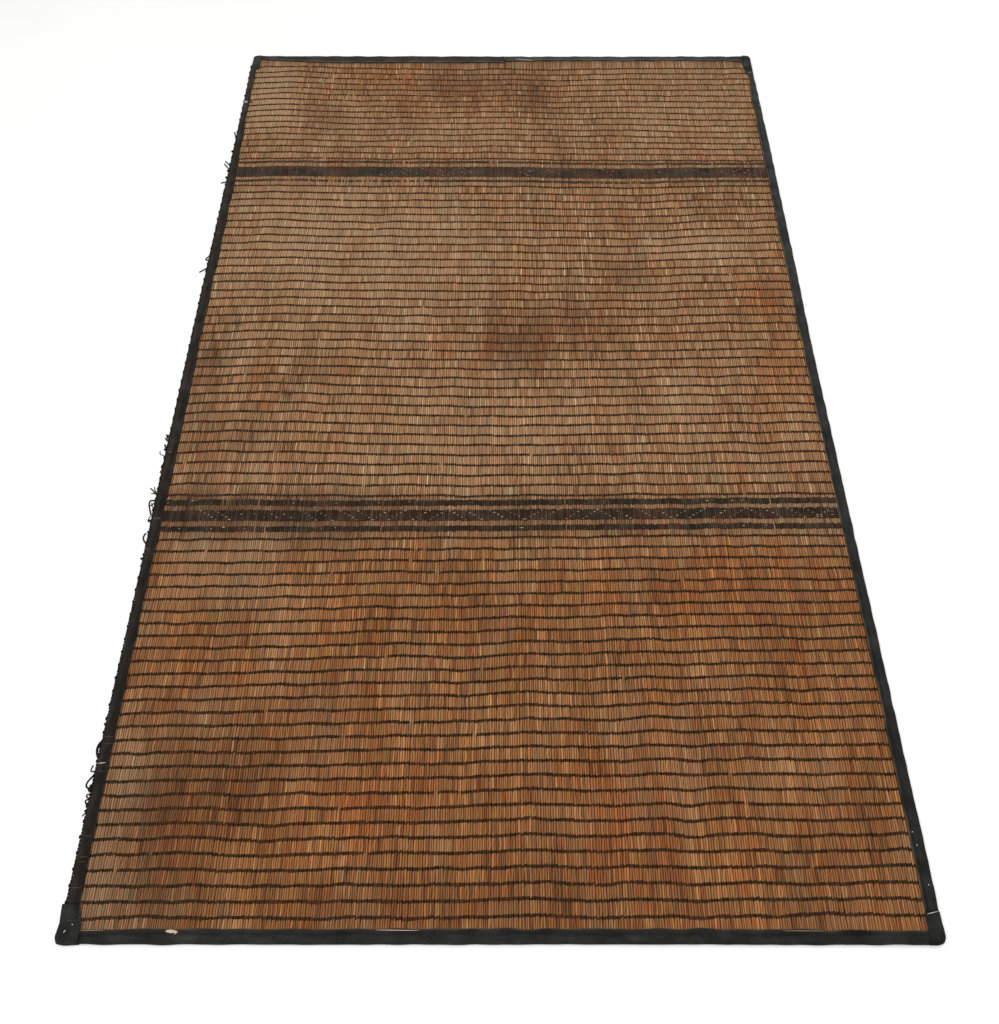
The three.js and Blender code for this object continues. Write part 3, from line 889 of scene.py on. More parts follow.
# A stalk's section in mm over its middle: its crest, its underside and the height of its flanks
CREST_HIGH = 1.5
UNDERSIDE_LOW = 1.35
FLANK_HIGH = 0.46
# The share of its width that a stalk's underside takes, and how far its flanks run into the next
# stalk's, in mm
UNDERSIDE_SHARE = 0.94
FLANK_OVERLAP = 0.05
# How much flatter a stalk is pressed under a thong row
PRESSED = 0.24
# How far stalks differ, in mm: leaning sideways, the most they lean, standing up and at their ends
LEAN = 0.34
MOST_LEAN = 1.1
LIFT = 0.14
RAGGED_END = 0.6
# Half the height of a twist of thong in mm, and of one that is hidden under its stalks
TWIST_HIGH = 2.25
SUNK_HIGH = 1.0


def stalk_edges(reed):
    """Where neighbouring stalks meet, from the left edge on: no two stalks are equally thick."""
    source = np.random.default_rng(5)
    widths = np.clip(source.normal(1, 0.15, reed.stalks), 0.6, 1.45)
    edges = np.concatenate(([0], np.cumsum(widths)))
    return SHEET_HALF_WIDTH * (2 * edges / edges[-1] - 1)


def raw_tubes(name, sides, rings, count):
    """Straight tubes side by side along Y, as an array, with rings a unit apart."""
    bm = bmesh.new()
    bmesh.ops.create_cone(bm, cap_ends=True, segments=sides, radius1=1, radius2=1, depth=rings - 1)
    bmesh.ops.rotate(bm, verts=bm.verts, cent=(0, 0, 0), matrix=Matrix.Rotation(math.pi / 2, 3, "X"))
    lengthwise = [e for e in bm.edges if abs(e.verts[0].co.y - e.verts[1].co.y) > 0.5]
    bmesh.ops.subdivide_edges(bm, edges=lengthwise, cuts=rings - 2, use_grid_fill=True)
    bmesh.ops.recalc_face_normals(bm, faces=bm.faces)
    obj = mesh_object(name, bm)
    repeat(obj, count, (SPREAD, 0, 0))
    apply_modifiers(obj)
    return obj


def stalk_draws(reed, pinch):
    """What chance gives each stalk: how it leans, parts from its neighbour and lifts at each ring,
    its ragged ends, and the tone and redness of every stretch between two rows."""
    each_ring = (reed.stalks, len(pinch))
    source = np.random.default_rng(7)
    lean = source.normal(0, LEAN * MM, each_ring) * (1 - 0.5 * pinch)
    lean = lean * (1 + 1.5 * (source.random(each_ring) < 0.05))
    lean = np.clip(lean, -MOST_LEAN * MM, MOST_LEAN * MM)
    between = np.zeros((reed.stalks + 1, len(pinch)))
    between[1:-1] = (lean[1:] + lean[:-1]) / 2
    parting = source.uniform(0, 1, between.shape) ** 2
    lift = source.normal(0, LIFT * MM, each_ring) * (1 - pinch)
    ragged = np.abs(source.normal(0, RAGGED_END * MM, reed.stalks))
    # Every stretch has a tone of its own, and its redness is near to its neighbours'
    gap = np.cumsum(pinch).astype(int)
    stretches = (reed.stalks, gap[-1] + 1)
    tone = source.normal(0.5, 0.14, stretches) + source.normal(0, 0.04, (reed.stalks, 1))
    tone = tone + 0.4 * (source.random(stretches) < 0.013) - 0.4 * (source.random(stretches) < 0.05)
    ruddy = source.normal(0, 1, stretches)
    ruddy = 1.4 * ruddy + np.roll(ruddy, 1, axis=0) + np.roll(ruddy, 2, axis=0)
    ruddy = np.clip(0.34 + 0.09 * ruddy, 0, 1)
    return {
        "lean": lean, "between": between, "parting": parting, "lift": lift, "ragged": ragged,
        "gap": gap, "tone": tone, "ruddy": ruddy,
    }


def store_stretches(mesh, first, last_ring, drawn):
    """Keeps the tone and redness of every stretch on the faces of raw tubes."""
    faces = centres_of(mesh)
    stalk = np.rint(faces[:, 0] / SPREAD).astype(int) + first
    ring = np.clip(np.floor(last_ring / 2 - faces[:, 1]).astype(int), 0, last_ring)
    for name in ("tone", "ruddy"):
        store(mesh, name, drawn[name][stalk, drawn["gap"][ring]], domain="FACE")


def place_stalks(mesh, first, rings, edges, drawn, pinch):
    """Puts every ring of raw tubes in its place, pulled to its partner at the thong rows and
    leaning a little in between."""
    last_ring = len(rings["y"]) - 1
    raw = points_of(mesh)
    in_order = np.rint(raw[:, 0] / SPREAD).astype(int)
    stalk = in_order + first
    ring = np.rint(last_ring / 2 - raw[:, 1]).astype(int)
    section_x = raw[:, 0] - SPREAD * in_order
    section_z = raw[:, 2]
    side = np.sign(section_x)
    towards = np.where((stalk + rings["phase"][ring]) % 2 == 0, 1, -1)
    bound = rings["pinch"][ring]
    is_crest = section_z > 0.9
    is_flank = (section_z > -0.1) & ~is_crest
    is_outer = is_flank & (side != towards)
    own_x = (edges[stalk] + edges[stalk + 1]) / 2 + drawn["lean"][stalk, ring]
    half_wide = (edges[stalk + 1] - edges[stalk]) / 2
    # Two stalks meet on a line between them, which leaves a valley where a pair ends
    meeting = stalk + (side > 0)
    apart = drawn["parting"][meeting, ring]
    flank_x = edges[meeting] + drawn["between"][meeting, ring] + side * FLANK_OVERLAP * MM
    crest_x = own_x + towards * bound * pinch
    beneath_x = own_x + section_x * half_wide * UNDERSIDE_SHARE
    x = np.where(is_flank, flank_x, np.where(is_crest, crest_x, beneath_x))
    far_end = ring == 0
    near_end = ring == last_ring
    ring_y = rings["y"][ring]
    y = ring_y - pull_at(x, ring_y) * ~(far_end | near_end)
    y = y - drawn["ragged"][stalk] * far_end + drawn["ragged"][stalk] * near_end
    height = section_z * np.where(is_crest, CREST_HIGH, UNDERSIDE_LOW) * MM * (1 - PRESSED * bound)
    height = np.where(is_flank, FLANK_HIGH * MM * (1 - PRESSED * bound), height)
    height = np.where(is_outer, (FLANK_HIGH - bound * (0.3 + 0.7 * apart)) * MM, height)
    z = (REED_BASE + REED_TOP) / 2 + drawn["lift"][stalk, ring] + height
    move_points(mesh, x, y, z)
    # Painted shade on the flanks and undersides: nought on the crest, which stays light, and more where two
    # stalks part.
    store(mesh, "flank_shade", np.where(is_crest, 0.0, 0.4 + 0.6 * np.sqrt(apart)))
    # Painted shade in the notches: where two pairs part at a thong row the valley is darkened, and a little
    # also between rows where stalks part.
    notch_shade = np.where(is_outer, 0.7 + 0.3 * apart, 0.55)
    store(mesh, "notch_shade", is_flank * (bound * notch_shade + (1 - bound) * 0.5 * apart))
    store(mesh, "patch", patches_at(x, y), "FLOAT_COLOR")


def build_stalks(reed):
    """The stalks, in pieces of equal width."""
    lines = stalk_lines()
    rings = {key: np.array([line[key] for line in lines], float) for key in ("y", "pinch")}
    rings["phase"] = np.array([pair_phase(line["row"]) for line in lines])
    edges = stalk_edges(reed)
    drawn = stalk_draws(reed, rings["pinch"])
    in_piece = reed.stalks // STALK_PIECES
    pieces = []
    for number in range(STALK_PIECES):
        first = number * in_piece
        obj = raw_tubes(f"stalks_{number + 1}", reed.sides, len(lines), in_piece)
        store_stretches(obj.data, first, len(lines) - 1, drawn)
        place_stalks(obj.data, first, rings, edges, drawn, reed.pinch)
        pieces.append(obj)
    return pieces


def bead(name, segments, rings):
    """The raw form of one twist of thong."""
    bm = bmesh.new()
    bmesh.ops.create_uvsphere(bm, u_segments=segments, v_segments=rings, radius=1)
    return mesh_object(name, bm)


def bead_line(name, count):
    """Beads in a line: the object, and each bead's points from its own middle."""
    obj = bead(name, 6, 4)
    in_bead = len(obj.data.vertices)
    repeat(obj, count, (SPREAD, 0, 0))
    apply_modifiers(obj)
    raw = points_of(obj.data).reshape(count, in_bead, 3)
    raw[..., 0] -= SPREAD * np.arange(count)[:, None]
    return obj, raw


def build_thong_block(block, first_row, reed, thong):
    """The twined rows of one block: an array of beads across and along, then each is put on its
    pair of stalks, turned with the row's sway, and here and there sunk under a lifted stalk."""
    pairs = reed.stalks // 2
    rows = np.linspace(block["first"], block["last"], block["rows"]) * MM
    obj = bead(block["name"], 4, 3)
    in_bead = len(obj.data.vertices)
    repeat(obj, pairs, (SPREAD, 0, 0))
    repeat(obj, block["rows"], (0, -SPREAD, 0))
    apply_modifiers(obj)
    raw = points_of(obj.data).reshape(block["rows"], pairs, in_bead, 3)
    local_x = raw[..., 0] - SPREAD * np.arange(pairs)[None, :, None]
    local_y = raw[..., 1] + SPREAD * np.arange(block["rows"])[:, None, None]
    local_z = raw[..., 2]
    source = np.random.default_rng(50 + first_row)
    pitch = 2 * SHEET_HALF_WIDTH / reed.stalks
    phases = np.array([pair_phase(first_row + index) for index in range(block["rows"])])
    centre_x = stalk_edges(reed)[2 * np.arange(pairs)[None, :] + 1 - phases[:, None]]
    centre_x = np.clip(centre_x, -SHEET_HALF_WIDTH + pitch / 2, SHEET_HALF_WIDTH - pitch / 2)
    row_y = np.broadcast_to(rows[:, None], centre_x.shape)
    wobble = 0.6 * MM * soft_noise(centre_x, row_y, 100 * MM, 60)
    wobble = wobble + 0.5 * MM * soft_noise(centre_x, row_y * 40, 60 * MM, 61 + first_row)
    wobble = wobble + source.normal(0, 0.17 * MM, centre_x.shape)
    centre_y = row_y - pull_at(centre_x, row_y) + wobble
    slope = -(pull_at(centre_x + MM, row_y) - pull_at(centre_x - MM, row_y)) / (2 * MM)
    turn = np.arctan(slope) + thong.slant + source.normal(0, 0.08, centre_x.shape)
    length = thong.length * source.uniform(0.9, 1.1, centre_x.shape)
    width = thong.width * source.uniform(0.82, 1.15, centre_x.shape)
    sunk_chance = np.full(centre_x.shape, 0.003)
    for entry in SUNK_TWISTS:
        from_x = (centre_x / MM - entry["x"]) / entry["wide"]
        from_y = (centre_y / MM - entry["y"]) / entry["long"]
        sunk_chance += entry["share"] * np.exp(-from_x ** 4 - from_y ** 4)
    sunk = source.random(centre_x.shape) < sunk_chance
    height = np.where(sunk, SUNK_HIGH * MM, TWIST_HIGH * MM) + source.normal(0, 0.09 * MM, centre_x.shape)
    middle = (REED_BASE + REED_TOP) / 2
    along = local_x * length[..., None] / 2
    across = local_y * width[..., None] / 2
    # The twist leans one way above the stalks and the other way below them
    lean = np.where(local_z >= 0, 1, -1) * turn[..., None]
    x = centre_x[..., None] + along * np.cos(lean) - across * np.sin(lean)
    y = centre_y[..., None] + along * np.sin(lean) + across * np.cos(lean)
    z = middle + local_z * height[..., None]
    x = np.clip(x, -SHEET_HALF_WIDTH, SHEET_HALF_WIDTH)
    move_points(obj.data, x, y, z)
    tone = source.uniform(0.35, 1.0, centre_x.shape)[..., None] + np.zeros(in_bead)
    store(obj.data, "tone", tone.ravel())
    return obj


def grid_object(name, columns, lines):
    """A flat grid with its points counted from 0 along X and Y: the object, and each point's
    column and line."""
    bm = bmesh.new()
    bmesh.ops.create_grid(bm, x_segments=columns, y_segments=lines, size=1)
    obj = mesh_object(name, bm)
    raw = points_of(obj.data)
    across = np.unique(np.round(raw[:, 0], 5), return_inverse=True)[1]
    along = np.unique(np.round(raw[:, 1], 5), return_inverse=True)[1]
    return obj, across, along


# How far the woven leather drops, in mm: between two strips, at its rim and under a lifted stalk
STRIP_HOLLOW = 0.28
RIM_DROP = 0.35
STALK_DROP = 2.4
# Half the length, width and height of a pale dash, in mm
DASH_HALVES = (2.4, 1.2, 0.5)


def build_band(band, reed, settings, upper):
    """One face of a woven band: ribs over the stalks and a hollow between two strips, closed by a
    wall and a flat base that lie hidden among the stalks."""
    finer = 2 if upper else 1
    name = band["name"] if upper else band["name"] + "_underside"
    columns = reed.stalks * finer
    lines = band["strips"] * finer
    obj, column, line = grid_object(name, columns, lines)
    x = np.interp(column / finer, np.arange(reed.stalks + 1), stalk_edges(reed))
    stalk = np.minimum(column // finer, reed.stalks - 1)
    source = np.random.default_rng(80 + lines)
    wide = band["wide"] * MM
    offset = wide * (line / lines - 0.5)
    middle = band["middle"] * MM
    at_rim = (line == 0) | (line == lines)
    ragged = 0.3 * MM * soft_noise(x, 0, 9 * MM, 80 + lines)
    ragged = ragged + source.normal(0, 0.55 * MM, (2, columns + 1))[(line > 0).astype(int), column]
    y = middle - pull_at(x, middle) + offset + ragged * at_rim + 0.4 * MM * soft_noise(x, 0, 70 * MM, 81)
    crest = (column % 2 == 1) if upper else (column % 2 == 0)
    strip_middle = (line % 2 == 1) if upper else (line > 0) & (line < lines)
    worn = source.random(reed.stalks)[stalk]
    cell = source.random((columns + 1, lines + 1))[column, line]
    height = settings.rise - settings.rib * ~crest - STRIP_HOLLOW * MM * ~strip_middle
    height = height - RIM_DROP * MM * at_rim
    height = height + 0.10 * MM * soft_noise(x, y, 14 * MM, 82) + 0.18 * MM * (worn - 0.5) * crest
    chance = np.zeros(len(x))
    for entry in LIFTED:
        if entry["band"] == band["name"]:
            within = (x > entry["from"] * MM) & (x < entry["to"] * MM)
            chance = np.where(within, entry["share"], chance)
    beneath = (source.random(columns + 1)[column] < chance) & crest & upper
    height = height - STALK_DROP * MM * beneath
    surface = REED_TOP + height if upper else REED_BASE + 0.25 * MM - 0.6 * height
    move_points(obj.data, x, y, surface)
    # Painted shade: the grooves between stalks and the hollows between two strips are darker than the crests,
    # which are paler where rubbed; each cell also differs at random.
    tone = crest * (0.38 + 0.7 * worn ** 1.5) + 0.15 * strip_middle * crest + 0.35 * (cell - 0.5)
    tone = tone - band["darker"]
    store(obj.data, "tone", np.clip(tone + 0.14 * soft_noise(x, y, 50 * MM, 83), 0, 1))
    close_down_to(obj, (REED_BASE + REED_TOP) / 2 + (0.5 if upper else -0.5) * MM)
    return obj


def close_down_to(obj, base):
    """Closes a surface with walls from its rim and a flat base at a height."""
    bm = bmesh.new()
    bm.from_mesh(obj.data)
    rim = [edge for edge in bm.edges if edge.is_boundary]
    walls = bmesh.ops.extrude_edge_only(bm, edges=rim)["geom"]
    for vertex in (item for item in walls if isinstance(item, bmesh.types.BMVert)):
        vertex.co.z = base
    base_edges = [edge for edge in bm.edges if edge.is_boundary]
    bmesh.ops.contextual_create(bm, geom=base_edges)
    bmesh.ops.recalc_face_normals(bm, faces=bm.faces)
    bm.to_mesh(obj.data)
    bm.free()


def dash_places(band):
    """Where the pale dashes of a band lie: places across the mat and strips from its far edge."""
    places = [
        (x, entry["strip"]) for entry in LONE_DASHES if entry["band"] == band["name"] for x in entry["at"]]
    if band["name"] == "lower_band":
        starts = [
            {"start": group["start"] + offset, "lean": group["lean"]}
            for group in LOWER_GROUPS for offset in LOWER_OFFSETS]
        for entry in [*starts, *LOWER_SINGLES]:
            for step in range(band["strips"]):
                strip = step if entry["lean"] < 0 else band["strips"] - 1 - step
                places.append((entry["start"] + LINE_RUN * step / (band["strips"] - 1), strip))
    elif band["name"] == "upper_band":
        for entry in UPPER_LINES:
            steps = abs(entry["last"] - entry["first"])
            for step in range(steps + 1):
                share = step / steps
                strip = entry["first"] + (entry["last"] - entry["first"]) * share
                places.append((entry["start"] + (entry["end"] - entry["start"]) * share, strip))
    return places


def lay_beads(name, places, sizes, turn, tone):
    """Flat beads, each at its own place, in its own size (half lengths) and turned on the spot."""
    obj, raw = bead_line(name, len(places))
    along = raw[..., 0] * sizes[:, None, 0]
    across = raw[..., 1] * sizes[:, None, 1]
    x = places[:, None, 0] + along * np.cos(turn)[:, None] - across * np.sin(turn)[:, None]
    y = places[:, None, 1] + along * np.sin(turn)[:, None] + across * np.cos(turn)[:, None]
    z = places[:, None, 2] + raw[..., 2] * sizes[:, None, 2]
    move_points(obj.data, x, y, z)
    store(obj.data, "tone", np.repeat(tone, raw.shape[1]))
    return obj


def build_dashes(band, settings):
    """Short floats of undyed leather over one or two stalks."""
    dashes = dash_places(band)
    source = np.random.default_rng(90 + len(dashes))
    clear = len(dashes)
    if band["name"] == "upper_band":
        for entry in FAINT_DASHES:
            across = source.uniform(entry["from"], entry["to"], entry["count"])
            dashes.extend(zip(across, source.integers(0, band["strips"], entry["count"])))
    count = len(dashes)
    is_faint = np.arange(count) >= clear
    strip_wide = band["wide"] / band["strips"] * MM
    across = np.array([place[0] for place in dashes]) * MM + source.normal(0, 0.5 * MM, count)
    strip = np.array([place[1] for place in dashes])
    middle = band["middle"] * MM
    along = middle - pull_at(across, middle) + band["wide"] * MM / 2 - strip_wide * (strip + 0.5)
    along = along + source.normal(0, 0.3 * MM, count)
    places = np.stack((across, along, np.full(count, REED_TOP + settings.rise - 0.1 * MM)), axis=1)
    strength = source.uniform(0.65, 1.05, count) * np.where(is_faint, 0.75, 1)
    sizes = strength[:, None] * np.array(DASH_HALVES) * MM
    tone = np.where(is_faint, source.uniform(0, 0.4, count), source.uniform(0.15, 0.9, count))
    return lay_beads(band["name"] + "_dashes", places, sizes, source.normal(0, 0.3, count), tone)


def build_tape_bits(kind):
    """The small things of one kind that lie on the tapes, a little proud of the cloth."""
    bits = [bit for bit in TAPE_BITS if bit["kind"] == kind]
    places = np.array([(bit["x"], bit["y"], bit["up"]) for bit in bits]) * MM
    sizes = np.array([(bit["long"] / 2, bit["wide"] / 2, 0.45) for bit in bits]) * MM
    turn = np.radians([bit["turn"] for bit in bits])
    tone = np.array([bit["tone"] for bit in bits])
    return lay_beads(f"tape_{kind}s", places, sizes, turn, tone)


def undyed_strip(name, colour):
    """Undyed leather or cotton, grubby with use: a pale colour with darker grain, dull all over."""
    material, tree, shader = new_material(name)
    tone = stored(tree, "tone")
    grains = noise_on_place(tree, (1.5 * MM, 1.5 * MM, 1.5 * MM))
    grubby = mixed(tree, spread_out(tree, grains, 0.35, 0.65, 0.0, 0.5), colour, linear("8a7159"))
    shade = mixed(tree, tone, linear("3f2d26"), grubby)
    tree.links.new(shade, shader.inputs["Base Color"])
    shader.inputs["Roughness"].default_value = 0.7
    shader.inputs["Specular IOR Level"].default_value = 0.15
    bumped(tree, shader, grains, 0.2 * MM)
    return material


# Where a point across and along an edge lies on the mat
EDGE_PLACES = {
    "left": lambda across, along: (across - HALF_WIDTH, along),
    "right": lambda across, along: (HALF_WIDTH - across, along),
    "far": lambda across, along: (along, HALF_LENGTH - across),
    "near": lambda across, along: (along, across - HALF_LENGTH),
}

# The folded tape's middle surface from its upper lip round the fold to its lower lip. Reach is
# the share of the way from the fold to the lip, out is mm from the fold line, up is mm
FOLD = table(
    "reach out up",
    (1.0, 0, 5.45),
    (0.93, 0, 5.6),
    (0.8, 0, 5.75),
    (0.7, 0, 5.8),
    (0.6, 0, 5.85),
    (0.5, 0, 5.9),
    (0.38, 0, 5.9),
    (0.22, 0, 5.85),
    (0, 1.6, 5.6),
    (0, 0.7, 4.7),
    (0, 0.45, 3.2),
    (0, 0.7, 1.7),
    (0, 1.7, 0.6),
    (0.4, 0, 0.47),
    (1.0, 0, 0.47),
)


def fold_section(line):
    """The fold's reach, and how far out and up it lies in metres, on the given lines of a grid."""
    reach, out, up = (np.array([point[key] for point in FOLD])[line] for key in ("reach", "out", "up"))
    return reach, out * MM, up * MM


def build_tape(entry, settings):
    """A folded tape: a grid laid over the fold's section, wrinkled, then given its thickness."""
    start = entry["from"] * MM
    stop = entry["to"] * MM
    columns = round((stop - start) / settings.step)
    obj, column, line = grid_object(entry["name"], columns, len(FOLD) - 1)
    along = start + (stop - start) * column / columns
    stations = np.array(entry["along"]) * MM
    inset = np.interp(along, stations, entry["inset"]) * MM
    cover = np.interp(along, stations, entry["cover"]) * MM
    reach, out, up = fold_section(line)
    seed = 100 + len(entry["name"]) + ord(entry["side"][0])
    lip_wave = 0.5 * MM * soft_noise(along, 0, 55 * MM, seed)
    fold_wave = 0.25 * MM * soft_noise(along, 0, 35 * MM, seed + 1)
    flat = inset + 1.2 * MM
    across = np.where(reach > 0, flat + (cover - flat) * reach, inset + out)
    on_top = up > 2 * MM
    across = across + lip_wave * reach * on_top + fold_wave * (reach == 0)
    puckers = 0.22 * MM * soft_noise(along, across * 2.5, 24 * MM, seed + 2)
    long_waves = 0.18 * MM * soft_noise(along, across, 90 * MM, seed + 3)
    crease_at = entry["crease"] + 0.05 * soft_noise(along, 0, 60 * MM, seed + 4)
    crease = np.exp(-(((reach - crease_at) / 0.09) ** 2)) * on_top
    up = up + (puckers + long_waves - 0.4 * MM * crease) * on_top
    x, y = EDGE_PLACES[entry["side"]](across, along)
    move_points(obj.data, x, y, up)
    patchy = soft_noise(along, 0, 45 * MM, seed + 5)
    # Painted light and shade: the stations give the tape's shade, darker towards the near edge and paler
    # towards the far one, partly the cloth's own stretches; the crease and, by the inner value, the cloth
    # between the crease and the lip get painted shade.
    shade = np.interp(along, stations, entry["shade"]) - 0.2 * crease + 0.05 * patchy
    shade = shade - entry["inner"] * smooth_step(reach, crease_at, crease_at + 0.15) * on_top
    shade = shade + 0.05 * soft_noise(along * 0.4, across * 3, 20 * MM, seed + 6)
    store(obj.data, "shade", np.clip(shade, 0, 1))
    lip = smooth_step(reach, 1 - entry["lip_share"], 1) * on_top * entry["lip"]
    store(obj.data, "dirt", np.clip(lip * (0.75 + 0.3 * patchy), 0, 1))
    thicken(obj, settings.thickness)
    return obj


def build_corner(entry, settings):
    """A corner piece: the same fold, carried round the corner, with its lips drawn to one side."""
    route = np.array(entry["route"], float) * MM
    steps = np.concatenate(([0], np.cumsum(np.linalg.norm(np.diff(route, axis=0), axis=1))))
    columns = max(12, round(steps[-1] / (2.5 * MM)))
    obj, column, line = grid_object(entry["name"], columns, len(FOLD) - 1)
    walked = steps[-1] * column / columns
    outer = np.stack([np.interp(walked, steps, route[:, axis]) for axis in (0, 1)], axis=1)
    inner = np.array(entry["inner"], float) * MM
    share = (column / columns)[:, None]
    lip = inner[0] * (1 - share) + inner[1] * share
    inward = lip - outer
    far = np.linalg.norm(inward, axis=1, keepdims=True)
    reach, out, up = fold_section(line)
    flat = 1.6 * MM
    depth = np.where(reach > 0, flat + (far[:, 0] - flat) * reach, out)
    place = outer + inward / far * depth[:, None]
    on_top = up > 2 * MM
    wrinkles = 0.2 * MM * soft_noise(place[:, 0], place[:, 1], 18 * MM, 140)
    wrinkles = wrinkles + 0.12 * MM * soft_noise(place[:, 0], place[:, 1], 8 * MM, 142)
    up = up + (entry["rise"] * MM + wrinkles) * on_top
    move_points(obj.data, place[:, 0], place[:, 1], up)
    patchy = soft_noise(place[:, 0], place[:, 1], 25 * MM, 141)
    # Painted shade: the cap is darker on its inner part, towards its lips, and its shade, like the tapes', is
    # darker at the near corners; the patches are the cloth's own.
    shade = entry["shade"] + 0.08 * patchy - 0.15 * smooth_step(reach, 0.5, 0.8)
    store(obj.data, "shade", np.clip(shade, 0, 1))
    store(obj.data, "dirt", 0.25 * (reach == 1) * on_top)
    thicken(obj, settings.thickness)
    return obj


def selvedge_x(y):
    """The selvedge's inner edge, which follows the left tape's fold, in metres."""
    entry = TAPES[0]
    return (np.interp(y / MM, entry["along"], entry["inset"]) - 0.5) * MM - HALF_WIDTH


def build_selvedge():
    """A twined cord outside the left tape, with a knot at the end of every thong row."""
    near, far = -924 * MM, 946 * MM
    step = 5.4 * MM
    count = round((far - near) / step)
    obj, raw = bead_line("left_selvedge", count)
    source = np.random.default_rng(160)
    place_y = near + step * (np.arange(count) + 0.5)
    knotted = np.arange(count) % 4 == 0
    half_wide = np.where(knotted, 2.0 * MM, 1.25 * MM) * source.uniform(0.8, 1.1, count)
    half_wide = half_wide * (1 + 0.25 * smooth_step(place_y, 860 * MM, 900 * MM))
    half_long = 3.4 * MM * source.uniform(0.85, 1.1, count)
    place_x = selvedge_x(place_y) - half_wide + 0.2 * MM
    turn = 0.45 + source.normal(0, 0.12, count)
    along = raw[..., 0] * half_long[:, None]
    across = raw[..., 1] * half_wide[:, None]
    x = place_x[:, None] + along * np.sin(turn)[:, None] * 0.4 + across * np.cos(turn)[:, None]
    y = place_y[:, None] + along * np.cos(turn)[:, None] - across * np.sin(turn)[:, None]
    z = 1.9 * MM + raw[..., 2] * 1.85 * MM
    move_points(obj.data, x, y, z)
    store(obj.data, "tone", np.repeat(source.uniform(0.4, 1, count), raw.shape[1]))
    return obj


def build_strands(settings):
    """The torn ends: round-edged strips that lie on the floor, some looped back to the selvedge."""
    half = settings.strand / 2
    curve = bpy.data.curves.new("left_fringe_ends", "CURVE")
    curve.dimensions = "3D"
    curve.bevel_depth = half
    curve.bevel_resolution = 2
    curve.use_fill_caps = True
    curve.resolution_u = 6
    for entry in STRANDS:
        root_y = entry["root"] * MM
        places = [(selvedge_x(root_y) - 1.2 * MM, root_y)]
        places += [(x * MM, y * MM) for x, y in entry["route"]]
        spline = curve.splines.new("NURBS")
        spline.points.add(len(places) - 1)
        for point, (x, y) in zip(spline.points, places):
            point.co = (x + MIDDLE_X, y, half * entry["thick"], 1)
            point.radius = entry["thick"]
        spline.order_u = 3
        spline.use_endpoint_u = True
    rough = bpy.data.objects.new("left_fringe_ends_route", curve)
    bpy.context.scene.collection.objects.link(rough)
    depsgraph = bpy.context.evaluated_depsgraph_get()
    mesh = bpy.data.meshes.new_from_object(rough.evaluated_get(depsgraph), depsgraph=depsgraph)
    bpy.data.objects.remove(rough)
    obj = bpy.data.objects.new("left_fringe_ends", mesh)
    bpy.context.scene.collection.objects.link(obj)
    store(mesh, "tone", np.full(len(mesh.vertices), 0.8))
    return obj


def build_knots():
    """The larger knots on the selvedge, a little lumpy and flat where they meet the floor."""
    bm = bmesh.new()
    for knot in KNOTS:
        made = bmesh.ops.create_icosphere(bm, subdivisions=2, radius=knot["radius"] * MM)["verts"]
        place = Vector((knot["x"] * MM + MIDDLE_X, knot["y"] * MM, knot["radius"] * MM))
        bmesh.ops.translate(bm, verts=made, vec=place)
    obj = mesh_object("left_fringe_knots", bm)
    points = points_of(obj.data)
    bump = 0.3 * MM * soft_noise(points[:, 0], points[:, 1] + points[:, 2], 3 * MM, 170)
    points[:, 2] = np.maximum(points[:, 2] + bump, 0)
    move_points(obj.data, points[:, 0] - MIDDLE_X, points[:, 1], points[:, 2])
    store(obj.data, "tone", np.full(len(obj.data.vertices), 0.7))
    return obj


class MAT_OT_reeds(bpy.types.Operator):
    """Lays the straw stalks side by side"""
    bl_idname = "mat.reeds"
    bl_label = "Stalks"

    def execute(self, context):
        reed = context.scene.mat_reed
        straw = dried_straw(reed)
        for obj in build_stalks(reed):
            finish_piece(obj, straw, ["reed_sheet"])
        return {"FINISHED"}


class MAT_OT_thongs(bpy.types.Operator):
    """Twines the leather thongs round the pairs of stalks"""
    bl_idname = "mat.thongs"
    bl_label = "Thong rows"

    def execute(self, context):
        reed = context.scene.mat_reed
        thong = context.scene.mat_thong
        first_row = 0
        for number, block in enumerate(THONG_BLOCKS, 1):
            obj = build_thong_block(block, first_row, reed, thong)
            colour = tuple(c * f for c, f in zip(thong.leather, block["tint"]))
            finish_piece(obj, goat_leather(f"twined_goat_leather_{number}", colour))
            first_row += block["rows"]
        return {"FINISHED"}


class MAT_OT_bands(bpy.types.Operator):
    """Weaves the two leather bands and their stripes"""
    bl_idname = "mat.bands"
    bl_label = "Leather bands"

    def execute(self, context):
        reed = context.scene.mat_reed
        settings = context.scene.mat_band
        leather = goat_leather("woven_goat_leather", tuple(settings.leather))
        pale = undyed_strip("undyed_goat_leather", tuple(settings.dash))
        for band in BANDS:
            finish_piece(build_band(band, reed, settings, True), leather, [band["name"]])
            finish_piece(build_band(band, reed, settings, False), leather)
            if dash_places(band):
                finish_piece(build_dashes(band, settings), pale)
        return {"FINISHED"}


